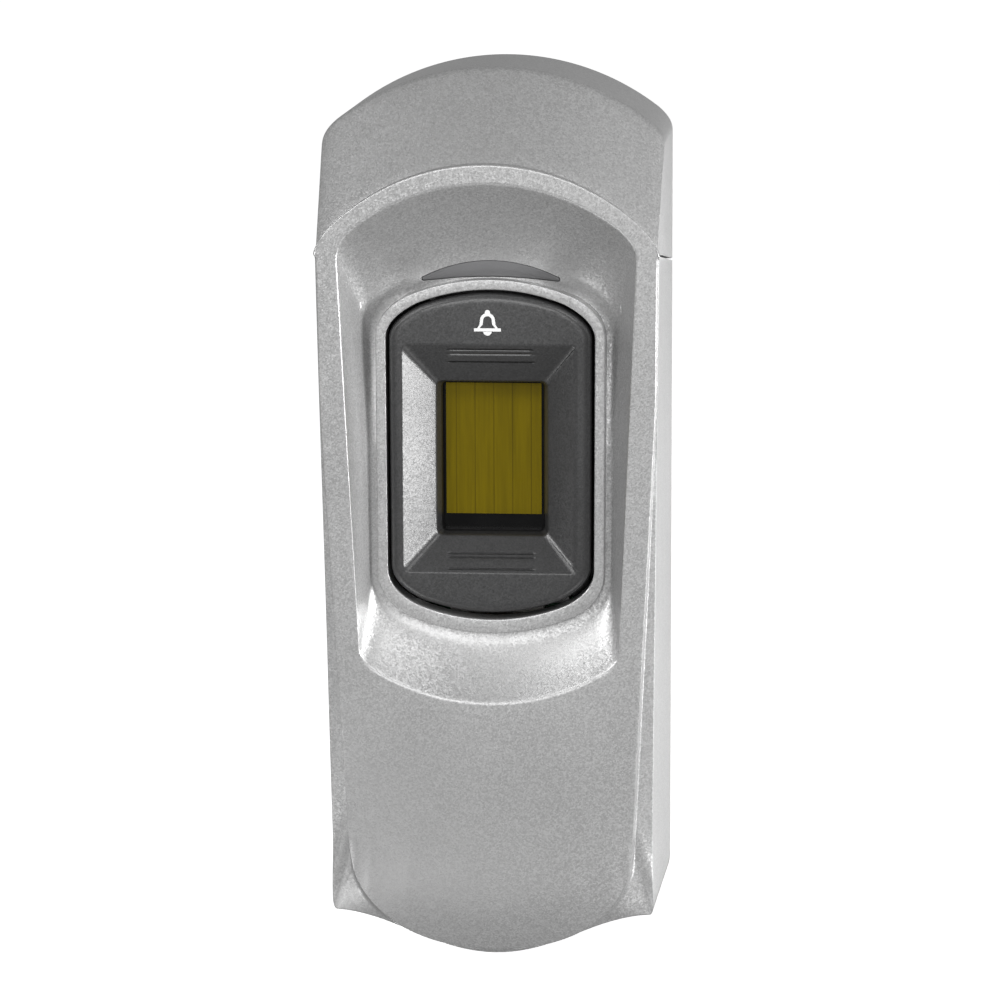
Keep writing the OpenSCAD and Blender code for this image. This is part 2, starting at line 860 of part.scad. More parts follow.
module crystal() {
    color("lightgray")
        rounded_plate(-4, 4, -41.5, -38, 1.6, -board_front, -board_front - 2.6);
}

module voltage_regulator() {
    color("black")
        chip(6.4, 5.8, 2.3, 2, 3, false, 12, -12, -board_back, 1);
}

module status_leds() {
    color("white")
        for (x = [-5, 0, 5])
            block([x - 1, -board_front - 1.2, 34.4], [x + 1, -board_front, 36]);
}

relay_size = [10, 10, 15.5];
relay_place = [-14.5, -board_back, 14];

module relay() {
    color("royalblue")
        translate(relay_place)
            cube(relay_size);
}

buzzer_r = 6;
buzzer_h = 7.5;
buzzer_hole_r = 1.2;
buzzer_place = [9, 22];

module buzzer() {
    color("black")
        difference() {
            rod_y(buzzer_r, -board_back, -board_back + buzzer_h, buzzer_place[0], buzzer_place[1]);
            rod_y(buzzer_hole_r, -board_back + buzzer_h - 1, -board_back + buzzer_h + 1,
                buzzer_place[0], buzzer_place[1]);
        }
}

capacitor_r = 3.15;
capacitor_h = 7.7;

module capacitors() {
    color("midnightblue")
        for (z = [-3, 6])
            rod_y(capacitor_r, -board_back, -board_back + capacitor_h, -14, z);
}

terminal_z = -22;
terminal_count = 8;
terminal_pitch = 3.5;
terminal_half_h = 3.6;
terminal_depth = 8.5;
terminal_screw_r = 1.3;
function terminal_x(i) = (i - (terminal_count - 1) / 2) * terminal_pitch;

module terminal_block() {
    color("forestgreen")
        difference() {
            block([-terminal_count * terminal_pitch / 2, -board_back, terminal_z - terminal_half_h],
                [terminal_count * terminal_pitch / 2, -board_back + terminal_depth,
                    terminal_z + terminal_half_h]);
            for (i = [0:terminal_count - 1]) {
                x = terminal_x(i);
                rod_y(terminal_screw_r, -board_back + 4, -board_back + 10, x, terminal_z);
                block([x - 1.2, -board_back + 1, terminal_z + 1.6], [x + 1.2, -board_back + 3.4, terminal_z + 5]);
            }
        }
}

module terminal_screws() {
    color("silver")
        for (i = [0:terminal_count - 1]) {
            x = terminal_x(i);
            difference() {
                rod_y(terminal_screw_r, -board_back + 4, -board_back + 6.4, x, terminal_z);
                block([x - 1, -board_back + 5.8, terminal_z - 0.2], [x + 1, -board_back + 7, terminal_z + 0.2]);
            }
        }
}

module sensor_connector() {
    color("ivory")
        difference() {
            block([-7, -board_front - 2.2, -19.5], [7, -board_front, -15.5]);
            block([-5.4, -board_front - 1.5, -17], [5.4, -board_front - 0.7, -15]);
        }
}

// ---------- bell switch and tamper switch ----------

bell_switch_z = 27.5;
switch_body_t = 3.4;
plunger_out = 1.6;

module bell_switch_body() {
    color("black")
        difference() {
            block([-3, -board_front - switch_body_t, bell_switch_z - 3],
                [3, -board_front, bell_switch_z + 3]);
            rod_y(1.75, -board_front - 1.2, -board_front - 5, 0, bell_switch_z);
        }
}

module bell_plunger() {
    color("white")
        rod_y(1.7, -board_front - 2.2, -board_front - switch_body_t - plunger_out, 0, bell_switch_z);
}

tamper_body_t = 5;

module tamper_switch_body() {
    color("black")
        difference() {
            block([ramp_x - 3, -board_back, ramp_z - 3], [ramp_x + 3, -board_back + tamper_body_t, ramp_z + 3]);
            rod_y(1.25, -board_back + 1, -board_back + 8, ramp_x, ramp_z);
        }
}

module tamper_plunger() {
    color("white")
        union() {
            rod_y(1.2, -board_back + 1.5, ramp_top_y - 1.3, ramp_x, ramp_z);
            intersection() {
                translate([ramp_x, ramp_top_y - 1.3, ramp_z])
                    sphere(r = 1.2);
                rod_y(1.3, ramp_top_y - 1.4, ramp_top_y, ramp_x, ramp_z);
            }
        }
}

// ---------- lock screw ----------

module lock_screw() {
    color("darkgray")
        difference() {
            union() {
                translate([0, lock_y, lock_seat_z])
                    cylinder(r = lock_shank_r, h = 12);
                translate([0, lock_y, lock_seat_z - 2])
                    cylinder(r = lock_head_r, h = 2);
            }
            translate([0, lock_y, lock_seat_z - 3])
                cylinder(r = 1.4, h = 2.2, $fn = 6);
        }
}

// ---------- rocking sensor module ----------

module_front = 31.3;
dish_depth = 27.6;
pit_depth = 25.4;
dish_half_w = 12.9;
dish_top = 24.7;
dish_low = -9.1;
pit_half_w = 8.1;
pit_top = 18.6;
pit_low = -4;
sensor_top = 18.1;

function module_outline(inset) = raise_low(collar_inner(module_gap + inset), 8, module_lift);

// Rectangle sampled like the other outlines, so that the skins join point to point
function rect_half(half_w, top, low) =
    concat(
        [for (i = [0:seam_i])
            i <= arc_n + 2 ? [half_w * i / (arc_n + 2), top] : [half_w, top - (i - arc_n - 2) * 0.25]],
        [for (i = [0:side_n]) [half_w, lerp(top - 1.2, low + 0.6, i / side_n)]],
        [for (i = [1:bottom_n])
            i < 3 ? [half_w, low + 0.6 - 0.2 * i] :
            [half_w * (bottom_n - i) / (bottom_n - 3), low]]
    );

function bezel_loops() = [
    lift_all(module_outline(0.1), flat(-26)),
    lift_all(module_outline(0), flat(-module_front + 1)),
    lift_all(module_outline(0.12), flat(-module_front + 0.45)),
    lift_all(module_outline(0.45), flat(-module_front + 0.12)),
    lift_all(module_outline(0.95), flat(-module_front)),
    lift_all(rect_half(dish_half_w + 0.15, dish_top + 0.15, dish_low - 0.15), flat(-module_front)),
    lift_all(rect_half(dish_half_w - 0.2, dish_top - 0.2, dish_low + 0.2), flat(-module_front + 0.2)),
    lift_all(rect_half(pit_half_w + 0.2, pit_top + 0.2, pit_low - 0.2), flat(-dish_depth - 0.1)),
    lift_all(rect_half(pit_half_w, pit_top, pit_low), flat(-dish_depth + 0.1)),
    lift_all(rect_half(pit_half_w - 0.7, pit_top - 0.3, pit_low + 0.4), flat(-pit_depth)),
    lift_all(rect_half(pit_half_w - 0.7, pit_top - 0.3, pit_low + 0.4), flat(-pit_depth + 0.9)),
    lift_all(rect_half(pit_half_w + 1, pit_top + 1, pit_low - 1), flat(-pit_depth + 0.9)),
    lift_all(rect_half(dish_half_w - 0.8, dish_top + 0.4, dish_low - 0.8), flat(-module_front + 2.2)),
    lift_all(module_outline(1.6), flat(-26))
];

sensor_post_x = 9.6;
sensor_post_zs = [-7, 22];
sensor_post_r = 1.6;
sensor_pilot_r = 0.7;
lip_half_w = 9;
module_ear_in = 9;
module_ear_out = 11.2;
module_ear_front = collar_back - 0.2;
bell_post_half_w = 1.6;

module sensor_bezel() {
    color([0.12, 0.12, 0.13])
        difference() {
            union() {
                ring_skin([for (loop = bezel_loops()) whole(loop)]);
                // Lip that stops the module behind the collar
                block([-lip_half_w, -collar_back + 0.15, 30.3], [lip_half_w, -25.9, 33.2]);
                block([-lip_half_w, -28, 29.8], [lip_half_w, -25.9, 31]);
                // Post that works the bell switch
                block([-bell_post_half_w, -29.6, bell_switch_z - bell_post_half_w],
                    [bell_post_half_w, -22.8, bell_switch_z + bell_post_half_w]);
                // Ears that turn on the pivot pin
                for (s = [-1, 1])
                    side_block(s, module_ear_in, module_ear_out, -module_ear_front, pivot_y + 1.6,
                        pivot_z - 1.7, pivot_z + 1.7);
                // Posts for the sensor board
                for (s = [-1, 1], z = sensor_post_zs)
                    rod_y(sensor_post_r, -28.8, -package_back, s * sensor_post_x, z);
            }
            translate([-20, pivot_y, pivot_z])
                rotate([0, 90, 0])
                    cylinder(r = pin_r + pin_clearance, h = 40);
            for (s = [-1, 1], z = sensor_post_zs)
                rod_y(sensor_pilot_r, -27.4, -package_back + 0.2, s * sensor_post_x, z);
        }
}

bell_scale = 0.5;
bell_z = 26.1;
bell_t = 0.12;
bell_line = 0.9;

module bell_symbol() {
    color("white")
        translate([-0.3, -module_front, bell_z])
            rotate([90, 0, 0])
                linear_extrude(bell_t)
                    scale(bell_scale)
                        bell_outline();
}

// Line drawing of a hand bell: body, rim, crown and clapper
module bell_outline() {
    difference() {
        bell_body(0);
        bell_body(bell_line);
    }
    translate([-3.9, 0.9])
        square([7.8, bell_line]);
    translate([0, 6.4])
        circle(0.75, $fn = 24);
    difference() {
        translate([0, 0.95])
            circle(1.25, $fn = 24);
        translate([-2, 0.8])
            square([4, 3]);
    }
}

module bell_body(inset) {
    w = 2.15 - inset;
    foot = 3.5 - inset * 1.3;
    crown_z = 4.1;
    waist_z = 2.9;
    foot_z = 1 + inset * 0.9;
    translate([0, crown_z])
        circle(w, $fn = 32);
    polygon([
        [-w, crown_z], [w, crown_z], [w + 0.15, waist_z],
        [foot, foot_z], [-foot, foot_z], [-w - 0.15, waist_z]
    ]);
}

package_half_w = 8.8;
package_front = 24.4;
package_back = 23.2;
die_front = 24.8;
die_seat = 24;
sensor_board_t = 1;
sensor_board_back = package_back - sensor_board_t;

module sensor_package() {
    color("black")
        difference() {
            block([-package_half_w, -package_front, pit_low - 0.4],
                [package_half_w, -package_back, pit_top + 1.4]);
            block([-sensor_w / 2, -package_front - 0.1, sensor_top - sensor_h],
                [sensor_w / 2, -die_seat, sensor_top]);
        }
}

module sensor_die() {
    color([0.45, 0.4, 0.08])
        block([-sensor_w / 2, -die_front, sensor_top - sensor_h], [sensor_w / 2, -die_seat, sensor_top]);
}

module sensor_board() {
    color("darkgreen")
        difference() {
            rounded_plate(-11, 11, -8.8, 24, 1.2, -package_back, -sensor_board_back);
            for (s = [-1, 1], z = sensor_post_zs)
                rod_y(sensor_pilot_r + 0.2, -25, -20, s * sensor_post_x, z);
        }
}

module sensor_screws() {
    color("silver")
        for (s = [-1, 1], z = sensor_post_zs)
            screw_y(1.3, 0.7, sensor_pilot_r, -sensor_board_back, -27, s * sensor_post_x, z);
}

// Flat flex from the sensor board down to the connector
ribbon_half_w = 5;
ribbon_t = 0.2;
ribbon_top = -4;
ribbon_bend_z = -14.2;
ribbon_front = 18.8;
ribbon_end = -16.7;

module sensor_ribbon() {
    color("peru") {
        block([-ribbon_half_w, -sensor_board_back, ribbon_bend_z],
            [ribbon_half_w, -sensor_board_back + ribbon_t, ribbon_top]);
        block([-ribbon_half_w, -sensor_board_back, ribbon_bend_z],
            [ribbon_half_w, -ribbon_front + ribbon_t, ribbon_bend_z + ribbon_t]);
        block([-ribbon_half_w, -ribbon_front, ribbon_end],
            [ribbon_half_w, -ribbon_front + ribbon_t, ribbon_bend_z + ribbon_t]);
    }
}

back_plate();
hood();
hood_screws();
wall_seal();
cable_grommet();
lock_insert();
front_cover();
status_window();
inner_frame();
frame_screws();
main_board();
board_screws();
processor_chip();
memory_chips();
crystal();
voltage_regulator();
status_leds();
relay();
buzzer();
capacitors();
terminal_block();
terminal_screws();
sensor_connector();
bell_switch_body();
tamper_switch_body();
pivot_pin();
lock_screw();
sensor_bezel();
bell_symbol();
sensor_package();
sensor_die();
sensor_board();
sensor_screws();
sensor_ribbon();
bell_plunger();
tamper_plunger();
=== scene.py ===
"""Fingerprint scanner terminal: the looks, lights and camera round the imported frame.

Metres in Blender; the outline functions below work in millimetres, like the design.
X is to the right, Y into the wall and Z up, with the origin on the wall plane.
"""
import json
import math

import bmesh
import bpy
import numpy as np
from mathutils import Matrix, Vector
from mathutils.bvhtree import BVHTree


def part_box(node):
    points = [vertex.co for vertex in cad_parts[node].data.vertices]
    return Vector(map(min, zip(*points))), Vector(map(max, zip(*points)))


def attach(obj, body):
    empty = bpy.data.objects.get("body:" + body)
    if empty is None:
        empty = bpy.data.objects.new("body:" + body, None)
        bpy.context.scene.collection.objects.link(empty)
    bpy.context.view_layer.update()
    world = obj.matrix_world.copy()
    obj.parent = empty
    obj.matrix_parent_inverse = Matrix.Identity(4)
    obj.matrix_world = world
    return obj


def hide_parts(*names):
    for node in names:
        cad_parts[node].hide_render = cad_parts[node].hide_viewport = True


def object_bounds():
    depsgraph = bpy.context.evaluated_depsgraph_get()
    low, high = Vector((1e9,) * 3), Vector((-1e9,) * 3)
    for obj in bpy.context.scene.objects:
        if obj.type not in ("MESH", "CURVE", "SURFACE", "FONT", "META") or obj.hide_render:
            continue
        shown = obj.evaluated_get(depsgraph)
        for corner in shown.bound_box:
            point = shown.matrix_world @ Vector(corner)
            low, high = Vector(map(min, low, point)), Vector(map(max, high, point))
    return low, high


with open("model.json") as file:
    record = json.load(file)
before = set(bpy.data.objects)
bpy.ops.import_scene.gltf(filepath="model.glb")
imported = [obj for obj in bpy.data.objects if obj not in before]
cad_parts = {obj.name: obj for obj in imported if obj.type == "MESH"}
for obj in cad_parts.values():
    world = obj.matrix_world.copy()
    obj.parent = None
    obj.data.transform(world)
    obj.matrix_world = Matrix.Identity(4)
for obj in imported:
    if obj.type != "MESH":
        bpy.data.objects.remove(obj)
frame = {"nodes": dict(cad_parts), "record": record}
CAD_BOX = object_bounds()
MM = 0.001


def high_corner(node):
    """The right, back and upper limits of a node, in mm."""
    return np.array(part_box(node)[1]) / MM


# ---------------------------------------------------------------- camera

CAMERA_AZIMUTH = 5.0
CAMERA_ELEVATION = 10.0
CAMERA_DISTANCE = 0.65
CAMERA_ROLL = -0.2
CAMERA_TARGET = Vector((0.0, -0.025, 0.0))
SENSOR_MM = 36.0
LENS_MM = 159.45
IMAGE_SHIFT = (0.006, 0.005)


def direction(azimuth_deg, elevation_deg):
    """The way out from the object at an angle round it, azimuth from the front towards +X."""
    azimuth, elevation = math.radians(azimuth_deg), math.radians(elevation_deg)
    return Vector((math.sin(azimuth) * math.cos(elevation),
                   -math.cos(azimuth) * math.cos(elevation),
                   math.sin(elevation)))


def make_camera():
    away = direction(CAMERA_AZIMUTH, CAMERA_ELEVATION)
    data = bpy.data.cameras.new("camera")
    data.sensor_width = SENSOR_MM
    data.lens = LENS_MM
    data.shift_x, data.shift_y = IMAGE_SHIFT
    data.clip_start = 0.01
    camera = bpy.data.objects.new("camera", data)
    bpy.context.scene.collection.objects.link(camera)
    camera.location = CAMERA_TARGET + away * CAMERA_DISTANCE
    aim = (-away).to_track_quat("-Z", "Y").to_euler()
    aim.rotate_axis("Z", math.radians(CAMERA_ROLL))
    camera.rotation_euler = aim
    bpy.context.scene.camera = camera


make_camera()


# ---------------------------------------------------------------- outlines, in mm

COVER_HIGH = high_corner("front_cover")
HOOD_HIGH = high_corner("hood")

BACK_HALF_W = HOOD_HIGH[0]
HOOD_PEAK = HOOD_HIGH[2]
HOOD_ARC_R = 37.5
HOOD_TOP_DEPTH = 25.0
RIM_DEPTH = 37.99
BOTTOM_DROP = 60.5
CHIN_DROP = 7.1
RIM_PEAK = COVER_HIGH[2]
RIM_ARC_R = 32.0
RIM_FACE = 3.1
RIM_CORNER = 3
RIM_CORNER_END = 38.2
RECESS_DROP = 27.5
COLLAR_HALF_W = 16.7
COLLAR_PEAK = 34.0
COLLAR_DROP = 18.0
COLLAR_FACE = 1.5
MODULE_GAP = 0.4
MODULE_LIFT = 0.55
COLLAR_FOOT = 0.55
WALL = 1.8
SHELL_GAP = 0.3
FLANGE_T = 1.4
HOOD_PROUD = 0.25
SEAM_FRONT_Z = 37.8
SEAM_BACK_Z = 33.3
COLLAR_FRONT = 30.8
COLLAR_BACK = 27.0
VALLEY_DEPTH = 29.7
VALLEY_DIP = 0.6
CORNER_DIP = 0.9
MODULE_FRONT = 31.3

# The plateau: tilt, fall below a height, the chin's steeper fall, and the crown across it
FACE_TILT = 0.042
FACE_TILT_Z = 45
FACE_FALL = 0.0012
FACE_FALL_Z = -25
CHIN_SLOPE = 0.14
CHIN_CURVE = 0.012
CHIN_FALL_Z = -54
FACE_CROWN = 0.0012
CHIN_HALF_W = 24

# Half widths at the top of each outline's straight sides, and how they narrow downwards
SIDE_TOP_Z = 38
WALL_HALF_W = 24.7
WALL_DRAFT = 0.0117
WALL_FLARE = 0.25
SHIELD_HALF_W = 24.95
SHIELD_TOP_Z = 27
SHIELD_DRAFT = 0.052
SHIELD_END_Z = -50
RECESS_HALF_W = 21.4
RECESS_LOW_R = 32.7
COLLAR_LOW_R = 30.3
RECESS_DRAFT = 0.0445
COLLAR_DRAFT = 0.004
COLLAR_TOP_Z = 27
SHOULDER_TOP = 0.9
SHOULDER_GROWTH = 1.7
SHOULDER_RETURN = 1.9

# How many points each stretch of half an outline gets
ARC_N = 40
CORNER_N = 14
SIDE_N = 56
BOTTOM_N = 60
BOTTOM_CORNER_N = 14
SEAM_I = ARC_N + CORNER_N


def smooth(t):
    """Eases from 0 to 1, and keeps to them outside that range."""
    t = np.clip(t, 0.0, 1.0)
    return t * t * (3 - 2 * t)


def bezier(a, b, c, t):
    t = np.asarray(t)[:, None]
    return a * (1 - t) ** 2 + 2 * b * t * (1 - t) + c * t * t


def arc_z(peak, r, x):
    """Height at x of an arc of radius r whose top is at z = peak."""
    return peak - r + np.sqrt(r * r - x * x)


def half_outline(peak, r, corner, corner_end, seam_z, side, side_end, bottom):
    """Half an outline in XZ, from the top centre down the right side to the bottom centre."""
    w = side(corner_end)
    x_start = w - corner
    start = np.array([x_start, arc_z(peak, r, x_start)])
    tip = np.array([w, arc_z(peak, r, w)])
    xs = x_start * np.arange(ARC_N) / ARC_N
    top = np.stack([xs, arc_z(peak, r, xs)], 1)
    turn = bezier(start, tip, np.array([w, corner_end]), np.arange(CORNER_N + 1) / CORNER_N)
    zs = seam_z + (side_end - seam_z) * np.arange(SIDE_N + 1) / SIDE_N
    flank = np.stack([np.array([side(z) for z in zs]), zs], 1)
    low = np.array([bottom(t) for t in np.arange(1, BOTTOM_N + 1) / BOTTOM_N])
    return np.concatenate([top, turn, flank, low])


def cornered_bottom(side, side_end, floor_z, corner):
    """A bottom run: a rounded corner, then the curve z = floor_z(x) to the centre."""
    t_corner = BOTTOM_CORNER_N / BOTTOM_N
    w = side(side_end)
    x_start = w - corner
    a = np.array([w, side_end])
    tip = np.array([w, floor_z(w)])
    c = np.array([x_start, floor_z(x_start)])

    def bottom(t):
        if t <= t_corner:
            return bezier(a, tip, c, [t / t_corner])[0]
        x = x_start * (1 - (t - t_corner) / (1 - t_corner))
        return np.array([x, floor_z(x)])

    return bottom


def face_y(x, z):
    """Depth of the front plateau: a slight slope and crown, then the chin's fall-back."""
    chin = np.maximum(0, CHIN_FALL_Z - z)
    low = np.maximum(0, FACE_FALL_Z - z)
    return (-RIM_DEPTH + FACE_TILT * (FACE_TILT_Z - z) + FACE_FALL * low * low
            + CHIN_SLOPE * chin + CHIN_CURVE * chin * chin + FACE_CROWN * x * x)


def seam_z_at(depth):
    """Height of the sloping seam between hood and cover, from the wall to the front."""
    return SEAM_BACK_Z + (SEAM_FRONT_Z - SEAM_BACK_Z) * depth / RIM_DEPTH


def hood_foot_z(depth):
    rise = (RIM_CORNER_END - SEAM_BACK_Z) * depth / (RIM_DEPTH - FLANGE_T)
    return SHELL_GAP + SEAM_BACK_Z + rise


def chin_bump(x):
    """How far the chin hangs at x, from 1 in the middle to 0 at its ends."""
    return (1 + math.cos(math.pi * x / CHIN_HALF_W)) / 2 if abs(x) < CHIN_HALF_W else 0.0


def wall_side(z):
    return (WALL_HALF_W - max(0, SIDE_TOP_Z - z) * WALL_DRAFT
            + WALL_FLARE * smooth((-48 - z) / 12))


def shield_side(z):
    return min(wall_side(z) - 0.05, SHIELD_HALF_W - (SHIELD_TOP_Z - z) * SHIELD_DRAFT)


def recess_side(z):
    return RECESS_HALF_W - (SIDE_TOP_Z - z) * RECESS_DRAFT


def collar_side(z):
    return COLLAR_HALF_W - max(0, COLLAR_TOP_Z - z) * COLLAR_DRAFT


def shoulder_drop(z):
    """How far the shoulders lie behind the plateau: more towards the bottom, none at the end."""
    return (SHOULDER_TOP + SHOULDER_GROWTH * smooth((34 - z) / 62)
            - SHOULDER_RETURN * smooth((-50 - z) / 10))


def rim_outline(inset, side, side_end, bottom, seam_depth):
    return half_outline(RIM_PEAK - inset, RIM_ARC_R - inset, RIM_CORNER, RIM_CORNER_END,
                        seam_z_at(seam_depth), lambda z: side(z) - inset, side_end, bottom)


def chin_bottom(side, inset, swell, side_end):
    return cornered_bottom(
        side, side_end, lambda x: inset - BOTTOM_DROP - CHIN_DROP * swell * chin_bump(x), 0.6)


def tongue_bottom(w, side_end, tip_z):
    """The tongue's rounded end, a little fuller than an ellipse."""
    def bottom(t):
        a = math.pi / 2 * t
        return np.array([w * max(0.0, math.cos(a)) ** 0.909,
                         side_end + (tip_z - side_end) * math.sin(a)])
    return bottom


def shield_outline(inset):
    def side(z):
        return shield_side(z) - inset
    tip_z = inset - BOTTOM_DROP - CHIN_DROP + 0.8
    return half_outline(RIM_PEAK - inset - 0.05, RIM_ARC_R - inset, RIM_CORNER, RIM_CORNER_END,
                        SEAM_FRONT_Z, side, SHIELD_END_Z,
                        tongue_bottom(side(SHIELD_END_Z), SHIELD_END_Z, tip_z))


def arched_outline(side, r, low, grow, *, peak, top_r, corner, corner_end, seam_z, side_end,
                   low_corner):
    """An outline whose bottom is an arc of radius r, lowest at z = low."""
    def floor_z(x):
        return low + r - math.sqrt(r * r - x * x)
    return half_outline(peak + grow, top_r + grow, corner, corner_end, seam_z, side, side_end,
                        cornered_bottom(side, side_end, floor_z, low_corner))


def recess_outline(grow):
    return arched_outline(lambda z: recess_side(z) + grow, RECESS_LOW_R, -RECESS_DROP - grow, grow,
                          peak=RIM_PEAK - RIM_FACE, top_r=31, corner=2.6,
                          corner_end=37.6 + grow * 0.3, seam_z=36.5, side_end=-19.5, low_corner=2.2)


def collar_outline(grow):
    return arched_outline(lambda z: collar_side(z) + grow, COLLAR_LOW_R + grow,
                          -COLLAR_DROP - grow, grow, peak=COLLAR_PEAK, top_r=30.3, corner=4.5,
                          corner_end=25.3, seam_z=24, side_end=-9, low_corner=4.2)


def collar_inner(inset):
    """The collar's inner edge, which leaves a wider face along the bottom."""
    half = collar_outline(-COLLAR_FACE - inset)
    half[:, 1] += COLLAR_FOOT * smooth((4 - half[:, 1]) / 16)
    return half


def module_outline(inset):
    half = collar_inner(MODULE_GAP + inset)
    half[:, 1] += MODULE_LIFT * smooth((8 - half[:, 1]) / 16)
    return half


def lift(half, y_top, y_low=None):
    """Gives each point of a half outline its depth, with its own rule above the seam."""
    y_low = y_top if y_low is None else y_low
    out = np.empty((len(half), 3))
    for i, (x, z) in enumerate(half):
        rule = y_top if i <= SEAM_I else y_low
        out[i] = x, rule(x, z) if callable(rule) else rule, z
    return out


def whole(half):
    """Mirrors a half loop into a whole one."""
    back = half[-2:0:-1] * np.array([-1, 1, 1])
    return np.concatenate([half, back])


def between(a, b, t):
    return a + (b - a) * t


# ---------------------------------------------------------------- meshes from loops

SHARP_ANGLE = math.radians(32)


def rounded_rows(keys, closed):
    """Rows of points from key rows; each key is (points, radius, steps) and its edge is rounded.

    The round is a quadratic curve that starts and ends radius away from the key point. It keeps
    to just under half of a stretch whose other end is rounded too, and to 0.9 of any other.
    """
    rows = []
    count = len(keys)
    for i, (points, radius, steps) in enumerate(keys):
        inner = closed or 0 < i < count - 1
        if radius <= 0 or not inner:
            rows.append(points)
            continue
        near = [keys[(i + k) % count] for k in (-1, 1)]
        before, after = [key[0] - points for key in near]
        reach = [np.minimum(radius / np.maximum(np.linalg.norm(v, axis=1), 1e-6),
                            0.48 if key[1] > 0 else 0.9)[:, None]
                 for v, key in zip((before, after), near)]
        a = points + before * reach[0]
        c = points + after * reach[1]
        for t in np.linspace(0, 1, steps + 1):
            rows.append(a * (1 - t) ** 2 + 2 * points * t * (1 - t) + c * t * t)
    return rows


def mesh_from_rows(name, rows, wrap_rows, wrap_columns, caps=False):
    """A mesh of quads through rows of points in mm; it can close on itself either way."""
    grid = np.array(rows) * MM
    count, n = grid.shape[:2]
    bm = bmesh.new()
    verts = [[bm.verts.new(p) for p in row] for row in grid]
    for i in range(count if wrap_rows else count - 1):
        for j in range(n if wrap_columns else n - 1):
            a, b = verts[i][j], verts[i][(j + 1) % n]
            d, c = verts[(i + 1) % count][j], verts[(i + 1) % count][(j + 1) % n]
            bm.faces.new((a, b, c, d))
    if caps:
        bm.faces.new([row[0] for row in verts])
        bm.faces.new([row[-1] for row in reversed(verts)])
    bmesh.ops.recalc_face_normals(bm, faces=bm.faces[:])
    return finish_mesh(name, bm)


def finish_mesh(name, bm):
    mesh = bpy.data.meshes.new(name)
    bm.to_mesh(mesh)
    bm.free()
    mesh.shade_smooth()
    mesh.set_sharp_from_angle(angle=SHARP_ANGLE)
    piece = bpy.data.objects.new(name, mesh)
    bpy.context.scene.collection.objects.link(piece)
    return piece


def add_modifier(piece, kind, **settings):
    modifier = piece.modifiers.new(kind.lower(), kind)
    for key, value in settings.items():
        setattr(modifier, key, value)
    return modifier


def apply_modifiers(piece):
    """Bakes a piece's modifiers into its mesh."""
    bpy.context.view_layer.update()
    graph = bpy.context.evaluated_depsgraph_get()
    mesh = bpy.data.meshes.new_from_object(piece.evaluated_get(graph))
    piece.modifiers.clear()
    piece.data = mesh


def cut(piece, *cutters):
    """Cuts closed meshes out of a piece and removes them."""
    for cutter in cutters:
        add_modifier(piece, "BOOLEAN", operation="DIFFERENCE", object=cutter, solver="EXACT")
        apply_modifiers(piece)
        bpy.data.objects.remove(cutter)
    piece.data.shade_smooth()
    piece.data.set_sharp_from_angle(angle=SHARP_ANGLE)


def join_into(piece, *others):
    """Adds the meshes of other pieces to one piece, as separate shells."""
    bm = bmesh.new()
    bm.from_mesh(piece.data)
    for other in others:
        bm.from_mesh(other.data)
        bpy.data.objects.remove(other)
    bm.to_mesh(piece.data)
    bm.free()


def tube(name, r, low, high, axis, centre, segments=48, bevel=0.0):
    """A round bar in mm along axis, from low to high, with both ends softened by bevel."""
    bm = bmesh.new()
    turned = {"X": 0, "Y": 1, "Z": 2}[axis]
    others = [k for k in range(3) if k != turned]
    ends = [(low, r - bevel), (low + bevel, r), (high - bevel, r), (high, r - bevel)]
    if bevel <= 0:
        ends = [(low, r), (high, r)]
    rings = []
    for place, radius in ends:
        ring = []
        for k in range(segments):
            angle = 2 * math.pi * k / segments
            p = [0.0, 0.0, 0.0]
            p[turned] = place
            p[others[0]] = centre[0] + radius * math.cos(angle)
            p[others[1]] = centre[1] + radius * math.sin(angle)
            ring.append(bm.verts.new(Vector(p) * MM))
        rings.append(ring)
    for a, b in zip(rings, rings[1:]):
        for k in range(segments):
            bm.faces.new((a[k], a[(k + 1) % segments], b[(k + 1) % segments], b[k]))
    bm.faces.new(rings[0])
    bm.faces.new(rings[-1])
    bmesh.ops.recalc_face_normals(bm, faces=bm.faces[:])
    return finish_mesh(name, bm)


def prism(name, outline, y0, y1):
    """A prism in mm from an outline in XZ, between two depths."""
    bm = bmesh.new()
    near = [bm.verts.new(Vector((x, y0, z)) * MM) for x, z in outline]
    far = [bm.verts.new(Vector((x, y1, z)) * MM) for x, z in outline]
    n = len(near)
    for k in range(n):
        bm.faces.new((near[k], near[(k + 1) % n], far[(k + 1) % n], far[k]))
    bm.faces.new(near)
    bm.faces.new(far)
    bmesh.ops.recalc_face_normals(bm, faces=bm.faces[:])
    return finish_mesh(name, bm)


def slab(name, low, high, bevel=0.15):
    """A block in mm with softened edges."""
    bm = bmesh.new()
    bmesh.ops.create_cube(bm, size=1.0)
    middle = (Vector(low) + Vector(high)) / 2
    size = Vector(high) - Vector(low)
    for vert in bm.verts:
        vert.co = Vector(m + c * d for m, c, d in zip(middle, vert.co, size)) * MM
    bmesh.ops.bevel(bm, geom=bm.edges[:], offset=bevel * MM, segments=2, affect="EDGES",
                    profile=0.6)
    return finish_mesh(name, bm)


def side_slab(name, side, x0, x1, y0, y1, z0, z1):
    """A block that lies between two distances from the middle, on one side."""
    return slab(name, (min(side * x0, side * x1), y0, z0), (max(side * x0, side * x1), y1, z1))


def bored_tube(name, r, bore_r, low, high, axis, centre, bore_low, bore_high):
    """A round boss with a blind or through hole along its axis."""
    boss = tube(name, r, low, high, axis, centre, 40, 0.12)
    cut(boss, tube("bore", bore_r, bore_low, bore_high, axis, centre, 24))
    return boss


# ---------------------------------------------------------------- front cover

